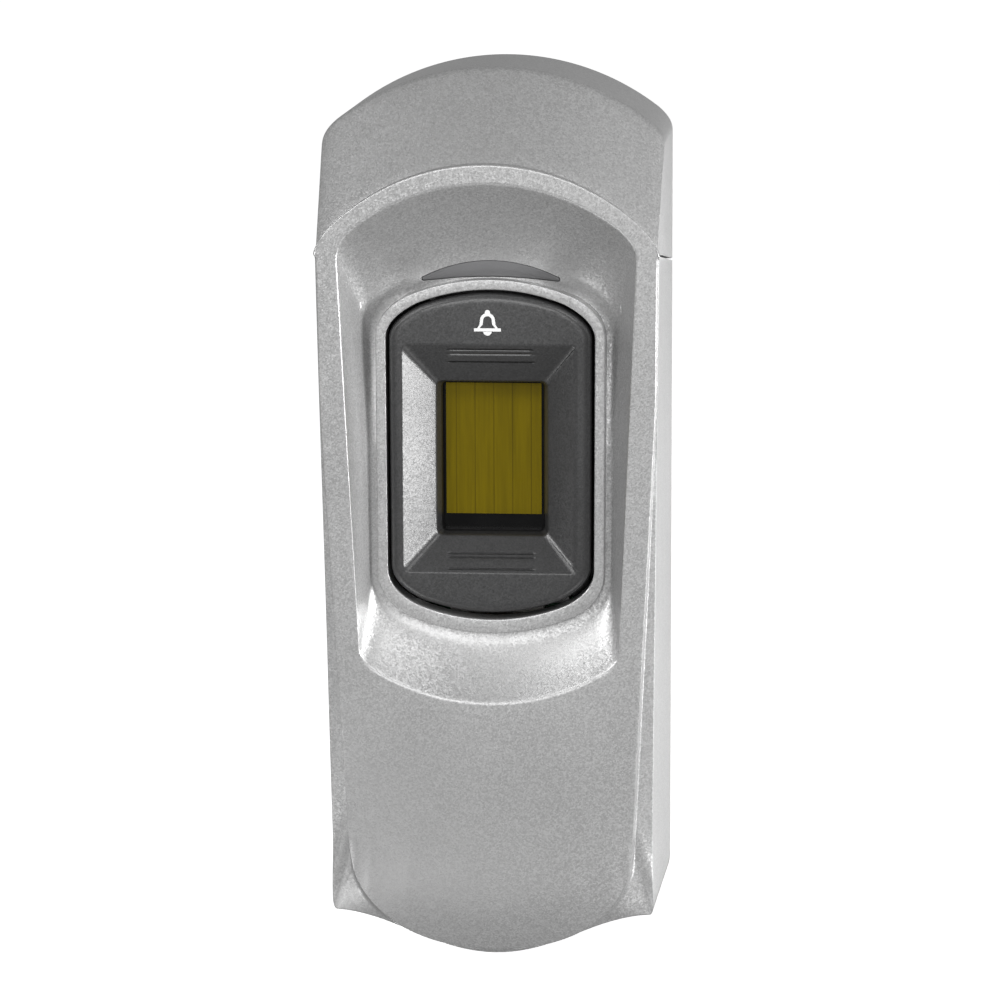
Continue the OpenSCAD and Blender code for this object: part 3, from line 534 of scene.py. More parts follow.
WALL_STEPS = 14
SHOULDER_FOOT = 0.3
BACK_END_Z = -BOTTOM_DROP + 2.5
EDGE_END_Z = -BOTTOM_DROP + 2
INNER_END_Z = -BOTTOM_DROP + 4
FACE_STOPS = (0.12, 0.25, 0.38, 0.5, 0.62, 0.75, 0.88)

# A boss is its radius, its bore's radius and its two ends; its bore has two ends of its own
FRAME_BOSS = (1.9, 0.8, -30.4, -24)
FRAME_BOSS_BORE = (-29, -20)
FRAME_BOSS_X = 20.6
FRAME_BOSS_Z = (-14, 30)
FRAME_FOOT = (2.4, 0.9, -32.4, -17.6)
FRAME_FOOT_BORE = (-28, -15)
FRAME_FOOT_X = 15
FRAME_FOOT_Z = -45
# The ledge that slides in behind the back plate's hook: its limits in X, then Y, then Z
LEDGE = (19.2, 23.6, -6.6, -4.6, 12.5, 20)


def wall_bend(t):
    """The recess wall's depth along its run: steep under the lip, easing towards the floor."""
    return 1 - (1 - t) ** 1.35


def shoulder_row(edge, shield):
    """The foot of the step beside the tongue, close under the tongue's edge."""
    out = edge - shield
    width = np.hypot(out[:, 0], out[:, 2])
    share = np.minimum(SHOULDER_FOOT / np.maximum(width, 1e-6), 0.4)[:, None]
    row = shield + out * share
    drop = edge[:, 1] - face_y(edge[:, 0], edge[:, 2])
    drop[SEAM_I + 1:] = shoulder_drop(row[SEAM_I + 1:, 2])
    row[:, 1] = face_y(row[:, 0], row[:, 2]) + drop * 0.97
    return row


def valley_y(rise):
    """Depth of the floor round the collar: deeper along the top, and most at its upper corners."""
    def depth(x, z):
        corner = smooth((abs(x) - 7) / 6) * smooth((z - 8) / 14)
        return -VALLEY_DEPTH - rise + VALLEY_DIP * smooth((z - 14) / 12) + CORNER_DIP * corner
    return depth


def cover_keys():
    """The cover's key rows, from its back edge over the face into the recess and home inside."""
    back = lift(rim_outline(0.05, lambda z: BACK_HALF_W + 0.05, BACK_END_Z,
                            chin_bottom(lambda z: BACK_HALF_W, 0, 0.55, BACK_END_Z), 0),
                -RIM_DEPTH + FLANGE_T, 0.0)
    edge = lift(rim_outline(0, wall_side, EDGE_END_Z,
                            chin_bottom(wall_side, 0, 1, EDGE_END_Z), RIM_DEPTH - 2),
                -RIM_DEPTH + FLANGE_T - 0.5, lambda x, z: face_y(x, z) + shoulder_drop(z))
    shield = lift(shield_outline(0.12), face_y)
    lip = lift(recess_outline(0.12), face_y)
    valley = lift(collar_outline(1), valley_y(0.15))
    shoulder = shoulder_row(edge, shield)
    keys = [(back, 0.2, 3), (edge, 0.35, 5), (shoulder, 0.8, 6), (shield, 0.35, 6)]
    for t in FACE_STOPS:
        row = between(shield, lip, t)
        row[:, 1] = face_y(row[:, 0], row[:, 2])
        keys.append((row, 0, 0))
    keys.append((lip, 0.4, 5))
    for k in range(1, WALL_STEPS):
        t = k / WALL_STEPS
        row = between(lip, valley, t)
        row[:, 1] = between(lip[:, 1], valley[:, 1], wall_bend(t))
        keys.append((row, 0, 0))
    keys += [
        (valley, 0.3, 3),
        (lift(collar_outline(0.05), valley_y(0)), 0.12, 3),
        (lift(collar_outline(0), -COLLAR_FRONT), 0.18, 5),
        (lift(collar_inner(0), -COLLAR_FRONT), 0.25, 5),
        (lift(collar_inner(0), -COLLAR_BACK), 0, 0),
        (lift(collar_outline(0.6), -COLLAR_BACK), 0, 0),
        (lift(collar_outline(1.9), valley_y(-1.5)), 0, 0),
        (lift(recess_outline(1.05), -RIM_DEPTH + FLANGE_T + 0.2,
              lambda x, z: face_y(x, z) + 1.9), 0, 0),
        (lift(shield_outline(1.9), -RIM_DEPTH + FLANGE_T + 0.1,
              lambda x, z: face_y(x, z) + 2), 0, 0),
        (lift(rim_outline(1.75, wall_side, INNER_END_Z,
                          chin_bottom(lambda z: wall_side(z) - 1.75, WALL, 0.95, INNER_END_Z),
                          RIM_DEPTH - 3),
              -RIM_DEPTH + FLANGE_T + 0.07,
              lambda x, z: face_y(x, z) + shoulder_drop(z) + 0.6), 0, 0),
        (lift(rim_outline(1, lambda z: BACK_HALF_W - WALL + 1, INNER_END_Z,
                          chin_bottom(lambda z: BACK_HALF_W - WALL, WALL, 0.55, INNER_END_Z), 0),
              -RIM_DEPTH + FLANGE_T + 0.04, 0.0), 0, 0),
    ]
    return [(whole(points), radius, steps) for points, radius, steps in keys]


LOCK_Y = -10.0
LOCK_SHANK_R = 1.7
LOCK_HEAD_R = 3.2
LOCK_SEAT_Z = -60.0
LOCK_BOSS = (4.2, -64.2, -55.0)
LOCK_CUT_LOW = -70
LOCK_CUT_HIGH = -50
WINDOW_CUT = (-36, -26)


def lock_cutters():
    """The lock screw's clearance hole and the well for its head."""
    centre = (0, LOCK_Y)
    return (tube("lock_well", LOCK_HEAD_R, LOCK_CUT_LOW, LOCK_SEAT_Z, "Z", centre),
            tube("lock_hole", LOCK_SHANK_R, LOCK_CUT_LOW, LOCK_CUT_HIGH, "Z", centre))


def make_cover():
    """The silver front shell, with the surface of its face for the window to follow."""
    cover = mesh_from_rows("front_shell", rounded_rows(cover_keys(), True), True, True)
    surface = BVHTree.FromObject(cover, bpy.context.evaluated_depsgraph_get())
    cut(cover, prism("window_cut", window_outline(0.0), *WINDOW_CUT), *lock_cutters())
    lock_boss = tube("lock_boss", *LOCK_BOSS, "Z", (0, LOCK_Y), 48, 0.15)
    cut(lock_boss, *lock_cutters())
    inside = [lock_boss]
    for side in (-1, 1):
        for z in FRAME_BOSS_Z:
            inside.append(bored_tube("boss", *FRAME_BOSS, "Y", (side * FRAME_BOSS_X, z),
                                     *FRAME_BOSS_BORE))
        inside.append(bored_tube("foot", *FRAME_FOOT, "Y", (side * FRAME_FOOT_X, FRAME_FOOT_Z),
                                 *FRAME_FOOT_BORE))
        inside.append(side_slab("ledge", side, *LEDGE))
    join_into(cover, *inside)
    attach(cover, "cover")
    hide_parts("front_cover")
    return cover, surface


# ---------------------------------------------------------------- status window

WINDOW_PEAK = 36.7
WINDOW_TOP_R = 20.7
WINDOW_LOW_PEAK = 34.2
WINDOW_LOW_R = 71.0
WINDOW_HALF_W = 9.7
WINDOW_TIP_R = 0.38
WINDOW_TIP_Z = 33.91
WINDOW_BACK = 27.6
# How far each ring of the window's face is drawn in, and how far it sinks
WINDOW_EDGE = ((0.05, 0.55), (0.05, 0.2), (0.12, 0.06), (0.25, 0.0))
LIGHT_GUIDE = ((-7, -28, 34.5), (7, -19.4, 35.9))


def window_outline(shrink, steps=40):
    """The crescent: a tight arc above, a slack one below, and small round tips."""
    xs = np.linspace(WINDOW_HALF_W, -WINDOW_HALF_W, steps)
    top_c = WINDOW_PEAK - WINDOW_TOP_R
    low_c = WINDOW_LOW_PEAK - WINDOW_LOW_R
    top = [(x, top_c + math.sqrt((WINDOW_TOP_R - shrink) ** 2 - x * x)) for x in xs]
    low = [(x, low_c + math.sqrt((WINDOW_LOW_R + shrink) ** 2 - x * x)) for x in xs[::-1]]

    def tip(side):
        angles = np.linspace(80, -80, 9) if side > 0 else np.linspace(260, 100, 9)
        r = WINDOW_TIP_R - shrink
        return [(side * WINDOW_HALF_W + r * math.cos(math.radians(a)),
                 WINDOW_TIP_Z + r * math.sin(math.radians(a))) for a in angles]

    return top + tip(-1)[::-1] + low + tip(1)[::-1]


def make_window(surface):
    """The smoked crescent, whose face follows the recess with a softly rounded edge."""
    rings = [[(x, -WINDOW_BACK, z) for x, z in window_outline(WINDOW_EDGE[0][0])]]
    for shrink, sink in WINDOW_EDGE:
        ring = []
        for x, z in window_outline(shrink):
            hit = surface.ray_cast(Vector((x, -60, z)) * MM, Vector((0, 1, 0)))[0]
            ring.append((x, hit.y / MM + sink, z))
        rings.append(ring)
    bm = bmesh.new()
    verts = [[bm.verts.new(Vector(p) * MM) for p in ring] for ring in rings]
    n = len(verts[0])
    for a, b in zip(verts, verts[1:]):
        for k in range(n):
            bm.faces.new((a[k], a[(k + 1) % n], b[(k + 1) % n], b[k]))
    bm.faces.new(verts[-1])
    bm.faces.new(verts[0])
    bmesh.ops.recalc_face_normals(bm, faces=bm.faces[:])
    lens = finish_mesh("status_lens", bm)
    join_into(lens, slab("light_guide", *LIGHT_GUIDE, 0.1))
    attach(lens, "cover")
    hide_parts("status_window")
    return lens


# ---------------------------------------------------------------- hood

HOOD_BOSS = (2.5, 0.9, -28.7, -2.5)
HOOD_BOSS_BORE = (-14, 0)
HOOD_BOSS_X = 14.0
HOOD_BOSS_Z = 54.0
HOOD_LIP = 1.35
HOOD_STOPS = (0.15, 0.3, 0.45, 0.6, 0.75, 0.9)


def open_half(peak, r, corner, corner_end, seam_z, half_w, depth):
    """Half an outline that stops at the hood's foot, with no bottom run."""
    half = half_outline(peak, r, corner, corner_end, seam_z, lambda z: half_w,
                        hood_foot_z(depth), lambda t: np.zeros(2))
    return half[:SEAM_I + 2 + SIDE_N]


def hood_half(inset, depth):
    return open_half(HOOD_PEAK - inset, HOOD_ARC_R - inset, 2.2, 53, 52.5,
                     BACK_HALF_W - inset, depth)


def hood_front_half(inset, depth):
    return open_half(RIM_PEAK - inset, RIM_ARC_R - inset, RIM_CORNER, 39.4, 39.1,
                     WALL_HALF_W - inset, depth)


def make_hood():
    """The silver hood: an arch that slopes from the top wall down to the cover's rim."""
    top, front = HOOD_TOP_DEPTH, RIM_DEPTH - FLANGE_T - 0.08
    edge, nose = hood_half(0, top), hood_front_half(HOOD_PROUD, front)
    keys = [(lift(hood_half(0, 0), 0.0), 0.25, 3), (lift(edge, -top), 0.9, 6)]
    for t in HOOD_STOPS:
        keys.append((lift(between(edge, nose, t), between(-top, -front, t)), 0, 0))
    keys += [
        (lift(nose, -front), 0.2, 3),
        (lift(hood_front_half(HOOD_PROUD + HOOD_LIP, front), -front), 0.2, 3),
        (lift(hood_half(WALL + 0.3, top - 1.2), -top + 1.2), 0, 0),
        (lift(hood_half(WALL, 0), 0.0), 0.2, 3),
    ]
    keys = [(np.concatenate([points[:0:-1] * np.array([-1, 1, 1]), points]), radius, steps)
            for points, radius, steps in keys]
    hood = mesh_from_rows("hood_shell", rounded_rows(keys, True), True, False, caps=True)
    join_into(hood, *[bored_tube("boss", *HOOD_BOSS, "Y", (x, HOOD_BOSS_Z), *HOOD_BOSS_BORE)
                      for x in (-HOOD_BOSS_X, HOOD_BOSS_X)])
    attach(hood, "base")
    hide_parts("hood")
    return hood


# ---------------------------------------------------------------- rocking module

DISH_DEPTH = 27.6
DISH_CORNER = 1.2
PIT_DEPTH = 25.4
PIT_CORNER = 0.9
DISH_HALF_W = 12.9
DISH_TOP = 24.7
DISH_LOW = -9.1
PIT_HALF_W = 8.1
PIT_TOP = 18.7
PIT_LOW = -4.0
PIVOT_Y = -24.6
PIVOT_Z = -12.5
PIVOT_BORE_R = 0.85
EAR_X = (9, 11.2)
EAR_HALF_H = 1.7
SENSOR_POST = (1.6, 0.7, -28.8, -23.2)
SENSOR_POST_BORE = (-27, -20)
SENSOR_POST_X = 9.6
SENSOR_POST_Z = (-7, 22)
# Opposite corners of the blocks behind the module's upper end
TOP_LIP = ((-9, -COLLAR_BACK + 0.15, 30.3), (9, -25.9, 33.2))
TOP_LIP_ROOT = ((-9, -28, 29.8), (9, -25.9, 31))
BELL_POST = ((-1.6, -29.6, 25.9), (1.6, -22.8, 29.1))

# The grooves lie at shares of the way from the dish's edge down to the pit
GROOVE_HALF_W = 6.5
GROOVE_DEPTH = 0.16
GROOVE_SIDE = 0.014
GROOVE_SIDE_SHARE = 0.6
GROOVE_EDGE = 0.035
TOP_GROOVES = (0.15, 0.27, 0.48)
LOW_GROOVES = (0.12, 0.42, 0.52)
EASE_STOPS = (0.02, 0.04, 0.06, 0.09, 0.2, 0.23)
LOW_STOPS = (0.6, 0.7, 0.8, 0.93)
TIGHT_ROLL = 0.04
WIDE_ROLL = 0.22


def rect_half(half_w, top, low, corner=0.5):
    """A rectangle with small round corners, sampled like the other outlines."""
    xs = (half_w - corner) * np.arange(ARC_N) / ARC_N
    head = np.stack([xs, np.full(ARC_N, top)], 1)
    turn = bezier(np.array([half_w - corner, top]), np.array([half_w, top]),
                  np.array([half_w, top - corner]), np.arange(CORNER_N + 1) / CORNER_N)
    zs = np.linspace(top - corner, low + corner, SIDE_N + 3)[1:-1]
    flank = np.stack([np.full(SIDE_N + 1, half_w), zs], 1)
    foot = bezier(np.array([half_w, low + corner]), np.array([half_w, low]),
                  np.array([half_w - corner, low]), np.arange(BOTTOM_CORNER_N) /
                  (BOTTOM_CORNER_N - 1))
    rest = BOTTOM_N - BOTTOM_CORNER_N
    xs = (half_w - corner) * (1 - np.arange(1, rest + 1) / rest)
    sole = np.stack([xs, np.full(rest, low)], 1)
    return np.concatenate([head, turn, flank, foot, sole])


def facet_row(dish, pit, t, groove_top, groove_low):
    """A row on the dish's facets, with the finger guides' grooves pressed into it."""
    row = between(dish, pit, t)
    ends = smooth((GROOVE_HALF_W - np.abs(row[:, 0])) / 0.5)
    index = np.arange(len(row))
    top = ends * (index < ARC_N + 2)
    low = ends * (index > ARC_N + CORNER_N + SIDE_N + BOTTOM_CORNER_N)
    row[:, 1] += GROOVE_DEPTH * (groove_top * top + groove_low * low)
    return row


def roll_off(row, t):
    """Eases a row's depth near the dish's edge: widely on the right, tightly elsewhere."""
    half_w = DISH_HALF_W + (PIT_HALF_W - DISH_HALF_W) * t
    width = np.where(row[:, 0] > half_w - 0.3, WIDE_ROLL, TIGHT_ROLL)
    eased = np.where(t < width, t * t / (2 * width), t - width / 2) / (1 - width / 2)
    row[:, 1] += (MODULE_FRONT - DISH_DEPTH) * (eased - t)
    return row


def groove_share(t, grooves):
    """How far a row is pressed in: fully along a groove's middle, partly along its sides."""
    middle = any(abs(t - g) < 0.005 for g in grooves)
    side = any(abs(abs(t - g) - GROOVE_SIDE) < 0.004 for g in grooves)
    return middle + GROOVE_SIDE_SHARE * side


def bezel_keys():
    """The module's key rows, from its back edge over the face into the dish, pit and inside."""
    dish = lift(rect_half(DISH_HALF_W, DISH_TOP, DISH_LOW, DISH_CORNER), -MODULE_FRONT)
    pit = lift(rect_half(PIT_HALF_W, PIT_TOP, PIT_LOW, PIT_CORNER), -DISH_DEPTH)
    pit_floor = rect_half(PIT_HALF_W - 0.7, PIT_TOP - 0.3, PIT_LOW + 0.4, PIT_CORNER)
    keys = [
        (lift(module_outline(0.1), -26.0), 0.15, 2),
        (lift(module_outline(0), -MODULE_FRONT), 1.35, 9),
        (lift(module_outline(1.6), -MODULE_FRONT), 0, 0),
        (dish, 0.15, 3),
    ]
    keys = [(whole(points), radius, steps) for points, radius, steps in keys]
    groove_stops = [g + offset for g in TOP_GROOVES + LOW_GROOVES
                    for offset in (-GROOVE_EDGE, -GROOVE_SIDE, 0.0, GROOVE_SIDE, GROOVE_EDGE)]
    for t in sorted({*EASE_STOPS, *groove_stops, *LOW_STOPS}):
        row = facet_row(dish, pit, t, groove_share(t, TOP_GROOVES), groove_share(t, LOW_GROOVES))
        keys.append((roll_off(whole(row), t), 0, 0))
    inner = [
        (pit, 0.3, 4),
        (lift(pit_floor, -PIT_DEPTH), 0.15, 3),
        (lift(pit_floor, -PIT_DEPTH + 0.9), 0, 0),
        (lift(rect_half(PIT_HALF_W + 1, PIT_TOP + 1, PIT_LOW - 1), -PIT_DEPTH + 0.9), 0, 0),
        (lift(rect_half(DISH_HALF_W - 0.8, DISH_TOP + 0.4, DISH_LOW - 0.8),
              -MODULE_FRONT + 2.2), 0, 0),
        (lift(module_outline(1.6), -26.0), 0, 0),
    ]
    return keys + [(whole(points), radius, steps) for points, radius, steps in inner]


def make_bezel():
    """The rocking module, with the ears it pivots on and the post that presses the bell pin."""
    bezel = mesh_from_rows("module_shell", rounded_rows(bezel_keys(), True), True, True)
    inside = [slab("lip", *TOP_LIP), slab("lip_root", *TOP_LIP_ROOT),
              slab("bell_post", *BELL_POST, 0.25)]
    for side in (-1, 1):
        ear = side_slab("ear", side, *EAR_X, -COLLAR_BACK + 0.2, PIVOT_Y + 1.6,
                        PIVOT_Z - EAR_HALF_H, PIVOT_Z + EAR_HALF_H)
        cut(ear, tube("ear_bore", PIVOT_BORE_R, -20, 20, "X", (PIVOT_Y, PIVOT_Z), 32))
        inside.append(ear)
        for z in SENSOR_POST_Z:
            inside.append(bored_tube("post", *SENSOR_POST, "Y", (side * SENSOR_POST_X, z),
                                     *SENSOR_POST_BORE))
    join_into(bezel, *inside)
    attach(bezel, "rocker")
    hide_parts("sensor_bezel")
    return bezel


# ---------------------------------------------------------------- materials

def new_material(name):
    material = bpy.data.materials.new(name)
    material.use_nodes = True
    tree = material.node_tree
    tree.nodes.clear()
    output = tree.nodes.new("ShaderNodeOutputMaterial")
    shader = tree.nodes.new("ShaderNodeBsdfPrincipled")
    tree.links.new(shader.outputs["BSDF"], output.inputs["Surface"])
    return material, tree, shader


def add_node(tree, kind, inputs=None, **settings):
    node = tree.nodes.new("ShaderNode" + kind)
    for key, value in settings.items():
        setattr(node, key, value)
    for key, value in (inputs or {}).items():
        node.inputs[key].default_value = value
    return node


def object_coords(tree):
    return add_node(tree, "TexCoord").outputs["Object"]


def noise(tree, coords, scale, detail=3.0, roughness=0.5):
    node = add_node(tree, "TexNoise", {"Scale": scale, "Detail": detail, "Roughness": roughness})
    tree.links.new(coords, node.inputs["Vector"])
    return node.outputs["Fac"]


def ramp(tree, value, low, high, to_low, to_high):
    node = add_node(tree, "MapRange", {"From Min": low, "From Max": high,
                                       "To Min": to_low, "To Max": to_high})
    tree.links.new(value, node.inputs["Value"])
    return node.outputs["Result"]


def bump(tree, height, distance, strength=1.0, normal=None):
    node = add_node(tree, "Bump", {"Strength": strength, "Distance": distance})
    tree.links.new(height, node.inputs["Height"])
    if normal is not None:
        tree.links.new(normal, node.inputs["Normal"])
    return node.outputs["Normal"]


def flakes(tree, coords, scale, spread):
    """Normals that tilt at random from flake to flake, for metallic paint and sparkle."""
    cells = add_node(tree, "TexVoronoi", {"Scale": scale})
    tree.links.new(coords, cells.inputs["Vector"])
    centred = add_node(tree, "VectorMath", operation="SUBTRACT")
    tree.links.new(cells.outputs["Color"], centred.inputs[0])
    centred.inputs[1].default_value = (0.5, 0.5, 0.5)
    scaled = add_node(tree, "VectorMath", {"Scale": spread}, operation="SCALE")
    tree.links.new(centred.outputs[0], scaled.inputs[0])
    geometry = add_node(tree, "NewGeometry")
    tilted = add_node(tree, "VectorMath", operation="ADD")
    tree.links.new(geometry.outputs["Normal"], tilted.inputs[0])
    tree.links.new(scaled.outputs[0], tilted.inputs[1])
    unit = add_node(tree, "VectorMath", operation="NORMALIZE")
    tree.links.new(tilted.outputs[0], unit.inputs[0])
    return unit.outputs[0], cells.outputs["Color"]


def flake_paint(name, dark, light, metallic, roughness, scale, spread, specular=0.5):
    """Metallic paint: fine flakes that vary in tilt and tone over a satin base."""
    material, tree, shader = new_material(name)
    coords = object_coords(tree)
    normal, tone = flakes(tree, coords, scale, spread)
    split = add_node(tree, "SeparateColor")
    tree.links.new(tone, split.inputs["Color"])
    mix = add_node(tree, "Mix", data_type="RGBA")
    tree.links.new(split.outputs["Red"], mix.inputs["Factor"])
    mix.inputs["A"].default_value = (*dark, 1)
    mix.inputs["B"].default_value = (*light, 1)
    tree.links.new(mix.outputs["Result"], shader.inputs["Base Color"])
    tree.links.new(bump(tree, noise(tree, coords, 900, 2), 0.00003, 0.5, normal),
                   shader.inputs["Normal"])
    tree.links.new(ramp(tree, noise(tree, coords, 60, 4), 0.3, 0.7, roughness - 0.03,
                        roughness + 0.03), shader.inputs["Roughness"])
    shader.inputs["Metallic"].default_value = metallic
    shader.inputs["Specular IOR Level"].default_value = specular
    return material


def moulded(name, colour, roughness, grain=1600, depth=0.00002, specular=0.5):
    """Moulded plastic: a fine spark-eroded grain with uneven gloss."""
    material, tree, shader = new_material(name)
    coords = object_coords(tree)
    tone = ramp(tree, noise(tree, coords, 90, 4), 0.2, 0.8, 0.9, 1.1)
    scale = add_node(tree, "VectorMath", operation="SCALE")
    scale.inputs[0].default_value = colour
    tree.links.new(tone, scale.inputs["Scale"])
    tree.links.new(scale.outputs[0], shader.inputs["Base Color"])
    tree.links.new(bump(tree, noise(tree, coords, grain, 2), depth, 0.6), shader.inputs["Normal"])
    tree.links.new(ramp(tree, noise(tree, coords, 200, 3), 0.3, 0.7, roughness - 0.06,
                        roughness + 0.06), shader.inputs["Roughness"])
    shader.inputs["Specular IOR Level"].default_value = specular
    return material


def metal(name, colour, roughness):
    """Plated or turned metal with faint streaks and a soft mottle."""
    material, tree, shader = new_material(name)
    coords = object_coords(tree)
    shader.inputs["Base Color"].default_value = (*colour, 1)
    shader.inputs["Metallic"].default_value = 1.0
    tree.links.new(bump(tree, noise(tree, coords, 2500, 3), 0.00001, 0.5), shader.inputs["Normal"])
    tree.links.new(ramp(tree, noise(tree, coords, 500, 3), 0.3, 0.7, roughness - 0.08,
                        roughness + 0.08), shader.inputs["Roughness"])
    return material


def well_painted_shade(material, depth, shade_level):
    """Painted shade: darkens a material behind a depth, so that the pit round the sensor reads as
    black.
    """
    tree = material.node_tree
    shader = next(n for n in tree.nodes if n.type == "BSDF_PRINCIPLED")
    link = shader.inputs["Base Color"].links[0]
    split = add_node(tree, "SeparateXYZ")
    tree.links.new(object_coords(tree), split.inputs["Vector"])
    share = ramp(tree, split.outputs["Y"], (depth - 0.1) * MM, (depth + 0.1) * MM, 1.0, shade_level)
    scale = add_node(tree, "VectorMath", operation="SCALE")
    tree.links.new(link.from_socket, scale.inputs[0])
    tree.links.new(share, scale.inputs["Scale"])
    tree.links.new(scale.outputs[0], shader.inputs["Base Color"])
    return material


def sensor_coat(name, colour, pitch, line):
    """The sensor's coated face: fine upright lines at a regular pitch over a faint streaked tone."""
    material, tree, shader = new_material(name)
    coords = object_coords(tree)
    split = add_node(tree, "SeparateXYZ")
    tree.links.new(coords, split.inputs["Vector"])
    fold = add_node(tree, "Math", {1: pitch / 2 * MM}, operation="PINGPONG")
    tree.links.new(split.outputs["X"], fold.inputs[0])
    lines = ramp(tree, fold.outputs[0], line * 0.5 * MM, line * 1.5 * MM, 0.62, 1.0)
    stretch = add_node(tree, "Mapping", {"Scale": (1.0, 1.0, 0.05)})
    tree.links.new(coords, stretch.inputs["Vector"])
    streaks = ramp(tree, noise(tree, stretch.outputs[0], 2600, 3), 0.3, 0.7, 0.88, 1.1)
    both = add_node(tree, "Math", operation="MULTIPLY")
    tree.links.new(lines, both.inputs[0])
    tree.links.new(streaks, both.inputs[1])
    scale = add_node(tree, "VectorMath", operation="SCALE")
    scale.inputs[0].default_value = colour
    tree.links.new(both.outputs[0], scale.inputs["Scale"])
    tree.links.new(scale.outputs[0], shader.inputs["Base Color"])
    tree.links.new(bump(tree, both.outputs[0], 0.00001, 0.5), shader.inputs["Normal"])
    tree.links.new(ramp(tree, noise(tree, coords, 700, 3), 0.3, 0.7, 0.36, 0.5),
                   shader.inputs["Roughness"])
    shader.inputs["Specular IOR Level"].default_value = 0.12
    return material


MATERIALS = {
    "silver_paint": flake_paint("silver_paint", (0.45, 0.45, 0.45), (0.62, 0.62, 0.62),
                                0.75, 0.40, 5000, 0.12),
    # The module's black paint, with painted shade darkening the pit round the sensor
    "module_black": well_painted_shade(
        flake_paint("module_black", (0.022, 0.022, 0.0225), (0.046, 0.046, 0.047),
                    0.12, 0.34, 5000, 0.06, 1.0), -PIT_DEPTH - 0.6, 0.15),
    "dark_plastic": moulded("dark_plastic", (0.06, 0.06, 0.065), 0.55),
    "black_plastic": moulded("black_plastic", (0.003, 0.003, 0.0032), 0.25, specular=0.2),
    "symbol_white": moulded("symbol_white", (0.9, 0.9, 0.9), 0.5),
    "rubber": moulded("rubber", (0.02, 0.02, 0.02), 0.75, 900, 0.00003),
    "circuit_board": moulded("circuit_board", (0.015, 0.11, 0.04), 0.35, 1200, 0.00001),
    "chip_black": moulded("chip_black", (0.015, 0.015, 0.016), 0.6),
    "white_plastic": moulded("white_plastic", (0.75, 0.74, 0.7), 0.45),
    "relay_blue": moulded("relay_blue", (0.02, 0.09, 0.36), 0.3),
    "capacitor_sleeve": moulded("capacitor_sleeve", (0.012, 0.02, 0.07), 0.25),
    "terminal_green": moulded("terminal_green", (0.02, 0.22, 0.07), 0.45),
    "flex_amber": moulded("flex_amber", (0.42, 0.17, 0.02), 0.3),
    "smoked_window": moulded("smoked_window", (0.18, 0.18, 0.184), 0.35, 2200, 0.00003),
    "sensor_gold": sensor_coat("sensor_gold", (0.17, 0.125, 0.0), 2.75, 0.07),
    "brass": metal("brass", (0.75, 0.52, 0.22), 0.3),
    "steel": metal("steel", (0.62, 0.62, 0.63), 0.32),
}

SOFT_EDGES = {"back_plate": 0.25, "hood_screws": 0.1, "wall_seal": 0.2, "cable_grommet": 0.35,
              "lock_screw": 0.15, "terminal_block": 0.15, "relay": 0.3, "buzzer": 0.25,
              "capacitors": 0.35, "sensor_connector": 0.12, "bell_symbol": 0.03}
BEVEL_ANGLE = math.radians(35)


def paint_nodes():
    """Gives every CAD node the material of its slot, and soft edges to the moulded and cut ones."""
    slots = {row["node"]: row["material_slot"] for row in frame["record"]["subparts"]}
    for name, node in frame["nodes"].items():
        node.data.materials.clear()
        node.data.materials.append(MATERIALS[slots[name]])
        if name in SOFT_EDGES:
            add_modifier(node, "BEVEL", width=SOFT_EDGES[name] * MM, segments=2,
                         limit_method="ANGLE", angle_limit=BEVEL_ANGLE,
                         use_clamp_overlap=True, harden_normals=False)


# ---------------------------------------------------------------- stage and lights

# Low enough to clear the cover when it is slid down
FLOOR_Z = CAD_BOX[0][2] - 0.0095
WALL_Y = 2.0
SWEEP_R = 0.8
STAGE_FRONT_Y = -4.0
STAGE_HALF_W = 4.0
STAGE_GLOW = 0.8
STAGE_HIGH = 1.8
SWEEP_STEPS = 16

# Name, azimuth and elevation in degrees, size in metres, watts
LIGHTS = (
    ("right_side", 71, 1, (0.4, 0.4), 10.5),
    ("right_top", 32, 42, (0.3, 0.3), 1.2),
    ("right_low", 28, -40, (0.3, 0.3), 0.6),
    ("front", -4, 14, (0.35, 0.35), 2.0),
    ("left_front", -60, 22, (0.3, 0.3), 2.6),
    ("left_top", -38, 42, (0.3, 0.3), 1.4),
    ("left_low", -38, -40, (0.3, 0.3), 1.1),
    ("right_rim", 145, -10, (0.3, 0.3), 1.0),
    ("back_fill", 195, -32, (0.5, 0.3), 2.5),
)
LIGHT_DISTANCE = 1.0
WORLD_STRENGTH = 0.30


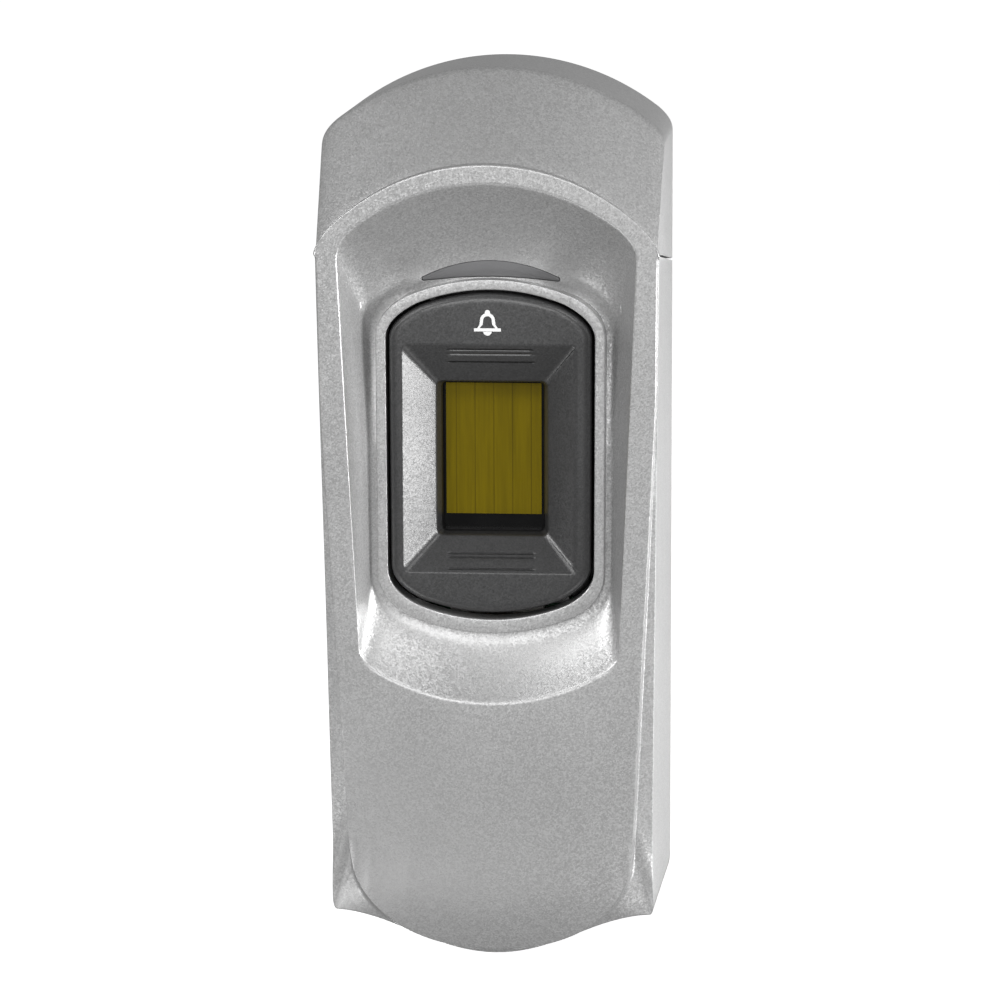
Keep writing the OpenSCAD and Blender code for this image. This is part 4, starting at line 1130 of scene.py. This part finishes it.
def make_stage():
    """A pale floor that sweeps up into a backdrop."""
    profile = [(STAGE_FRONT_Y, FLOOR_Z), (WALL_Y - SWEEP_R, FLOOR_Z)]
    for k in range(1, SWEEP_STEPS + 1):
        angle = math.pi / 2 * k / SWEEP_STEPS
        profile.append((WALL_Y - SWEEP_R + SWEEP_R * math.sin(angle),
                        FLOOR_Z + SWEEP_R * (1 - math.cos(angle))))
    profile.append((WALL_Y, FLOOR_Z + STAGE_HIGH))
    bm = bmesh.new()
    rows = [[bm.verts.new((x, y, z)) for x in (-STAGE_HALF_W, STAGE_HALF_W)] for y, z in profile]
    for a, b in zip(rows, rows[1:]):
        bm.faces.new((a[0], a[1], b[1], b[0]))
    floor = finish_mesh("stage_sweep", bm)
    material, _, shader = new_material("stage_pale")
    shader.inputs["Base Color"].default_value = (0.6, 0.6, 0.6, 1)
    shader.inputs["Roughness"].default_value = 0.9
    shader.inputs["Emission Color"].default_value = (1, 1, 1, 1)
    shader.inputs["Emission Strength"].default_value = STAGE_GLOW
    floor.data.materials.append(material)
    # The stage only shows: the lights alone set the tones on the object
    floor.visible_diffuse = False
    floor.visible_glossy = False
    floor.visible_shadow = False


def make_light(name, azimuth, elevation, size, power):
    """A softbox at an angle round the object, turned to face it."""
    away = direction(azimuth, elevation)
    data = bpy.data.lights.new(name, "AREA")
    data.shape = "RECTANGLE"
    data.size, data.size_y = size
    data.energy = power
    lamp = bpy.data.objects.new(name, data)
    bpy.context.scene.collection.objects.link(lamp)
    lamp.location = CAMERA_TARGET + away * LIGHT_DISTANCE
    lamp.rotation_euler = (-away).to_track_quat("-Z", "Y").to_euler()


def make_world(strength):
    world = bpy.data.worlds.new("studio")
    world.use_nodes = True
    bpy.context.scene.world = world
    back = world.node_tree.nodes["Background"]
    back.inputs["Color"].default_value = (1, 1, 1, 1)
    back.inputs["Strength"].default_value = strength


# ---------------------------------------------------------------- build

cover, cover_surface = make_cover()
lens = make_window(cover_surface)
shells = ((cover, "silver_paint"), (lens, "smoked_window"), (make_hood(), "silver_paint"),
          (make_bezel(), "module_black"))
for shell, slot in shells:
    shell.data.materials.append(MATERIALS[slot])
paint_nodes()
make_stage()
for light in LIGHTS:
    make_light(*light)
make_world(WORLD_STRENGTH)
bpy.context.scene.view_settings.view_transform = "Standard"
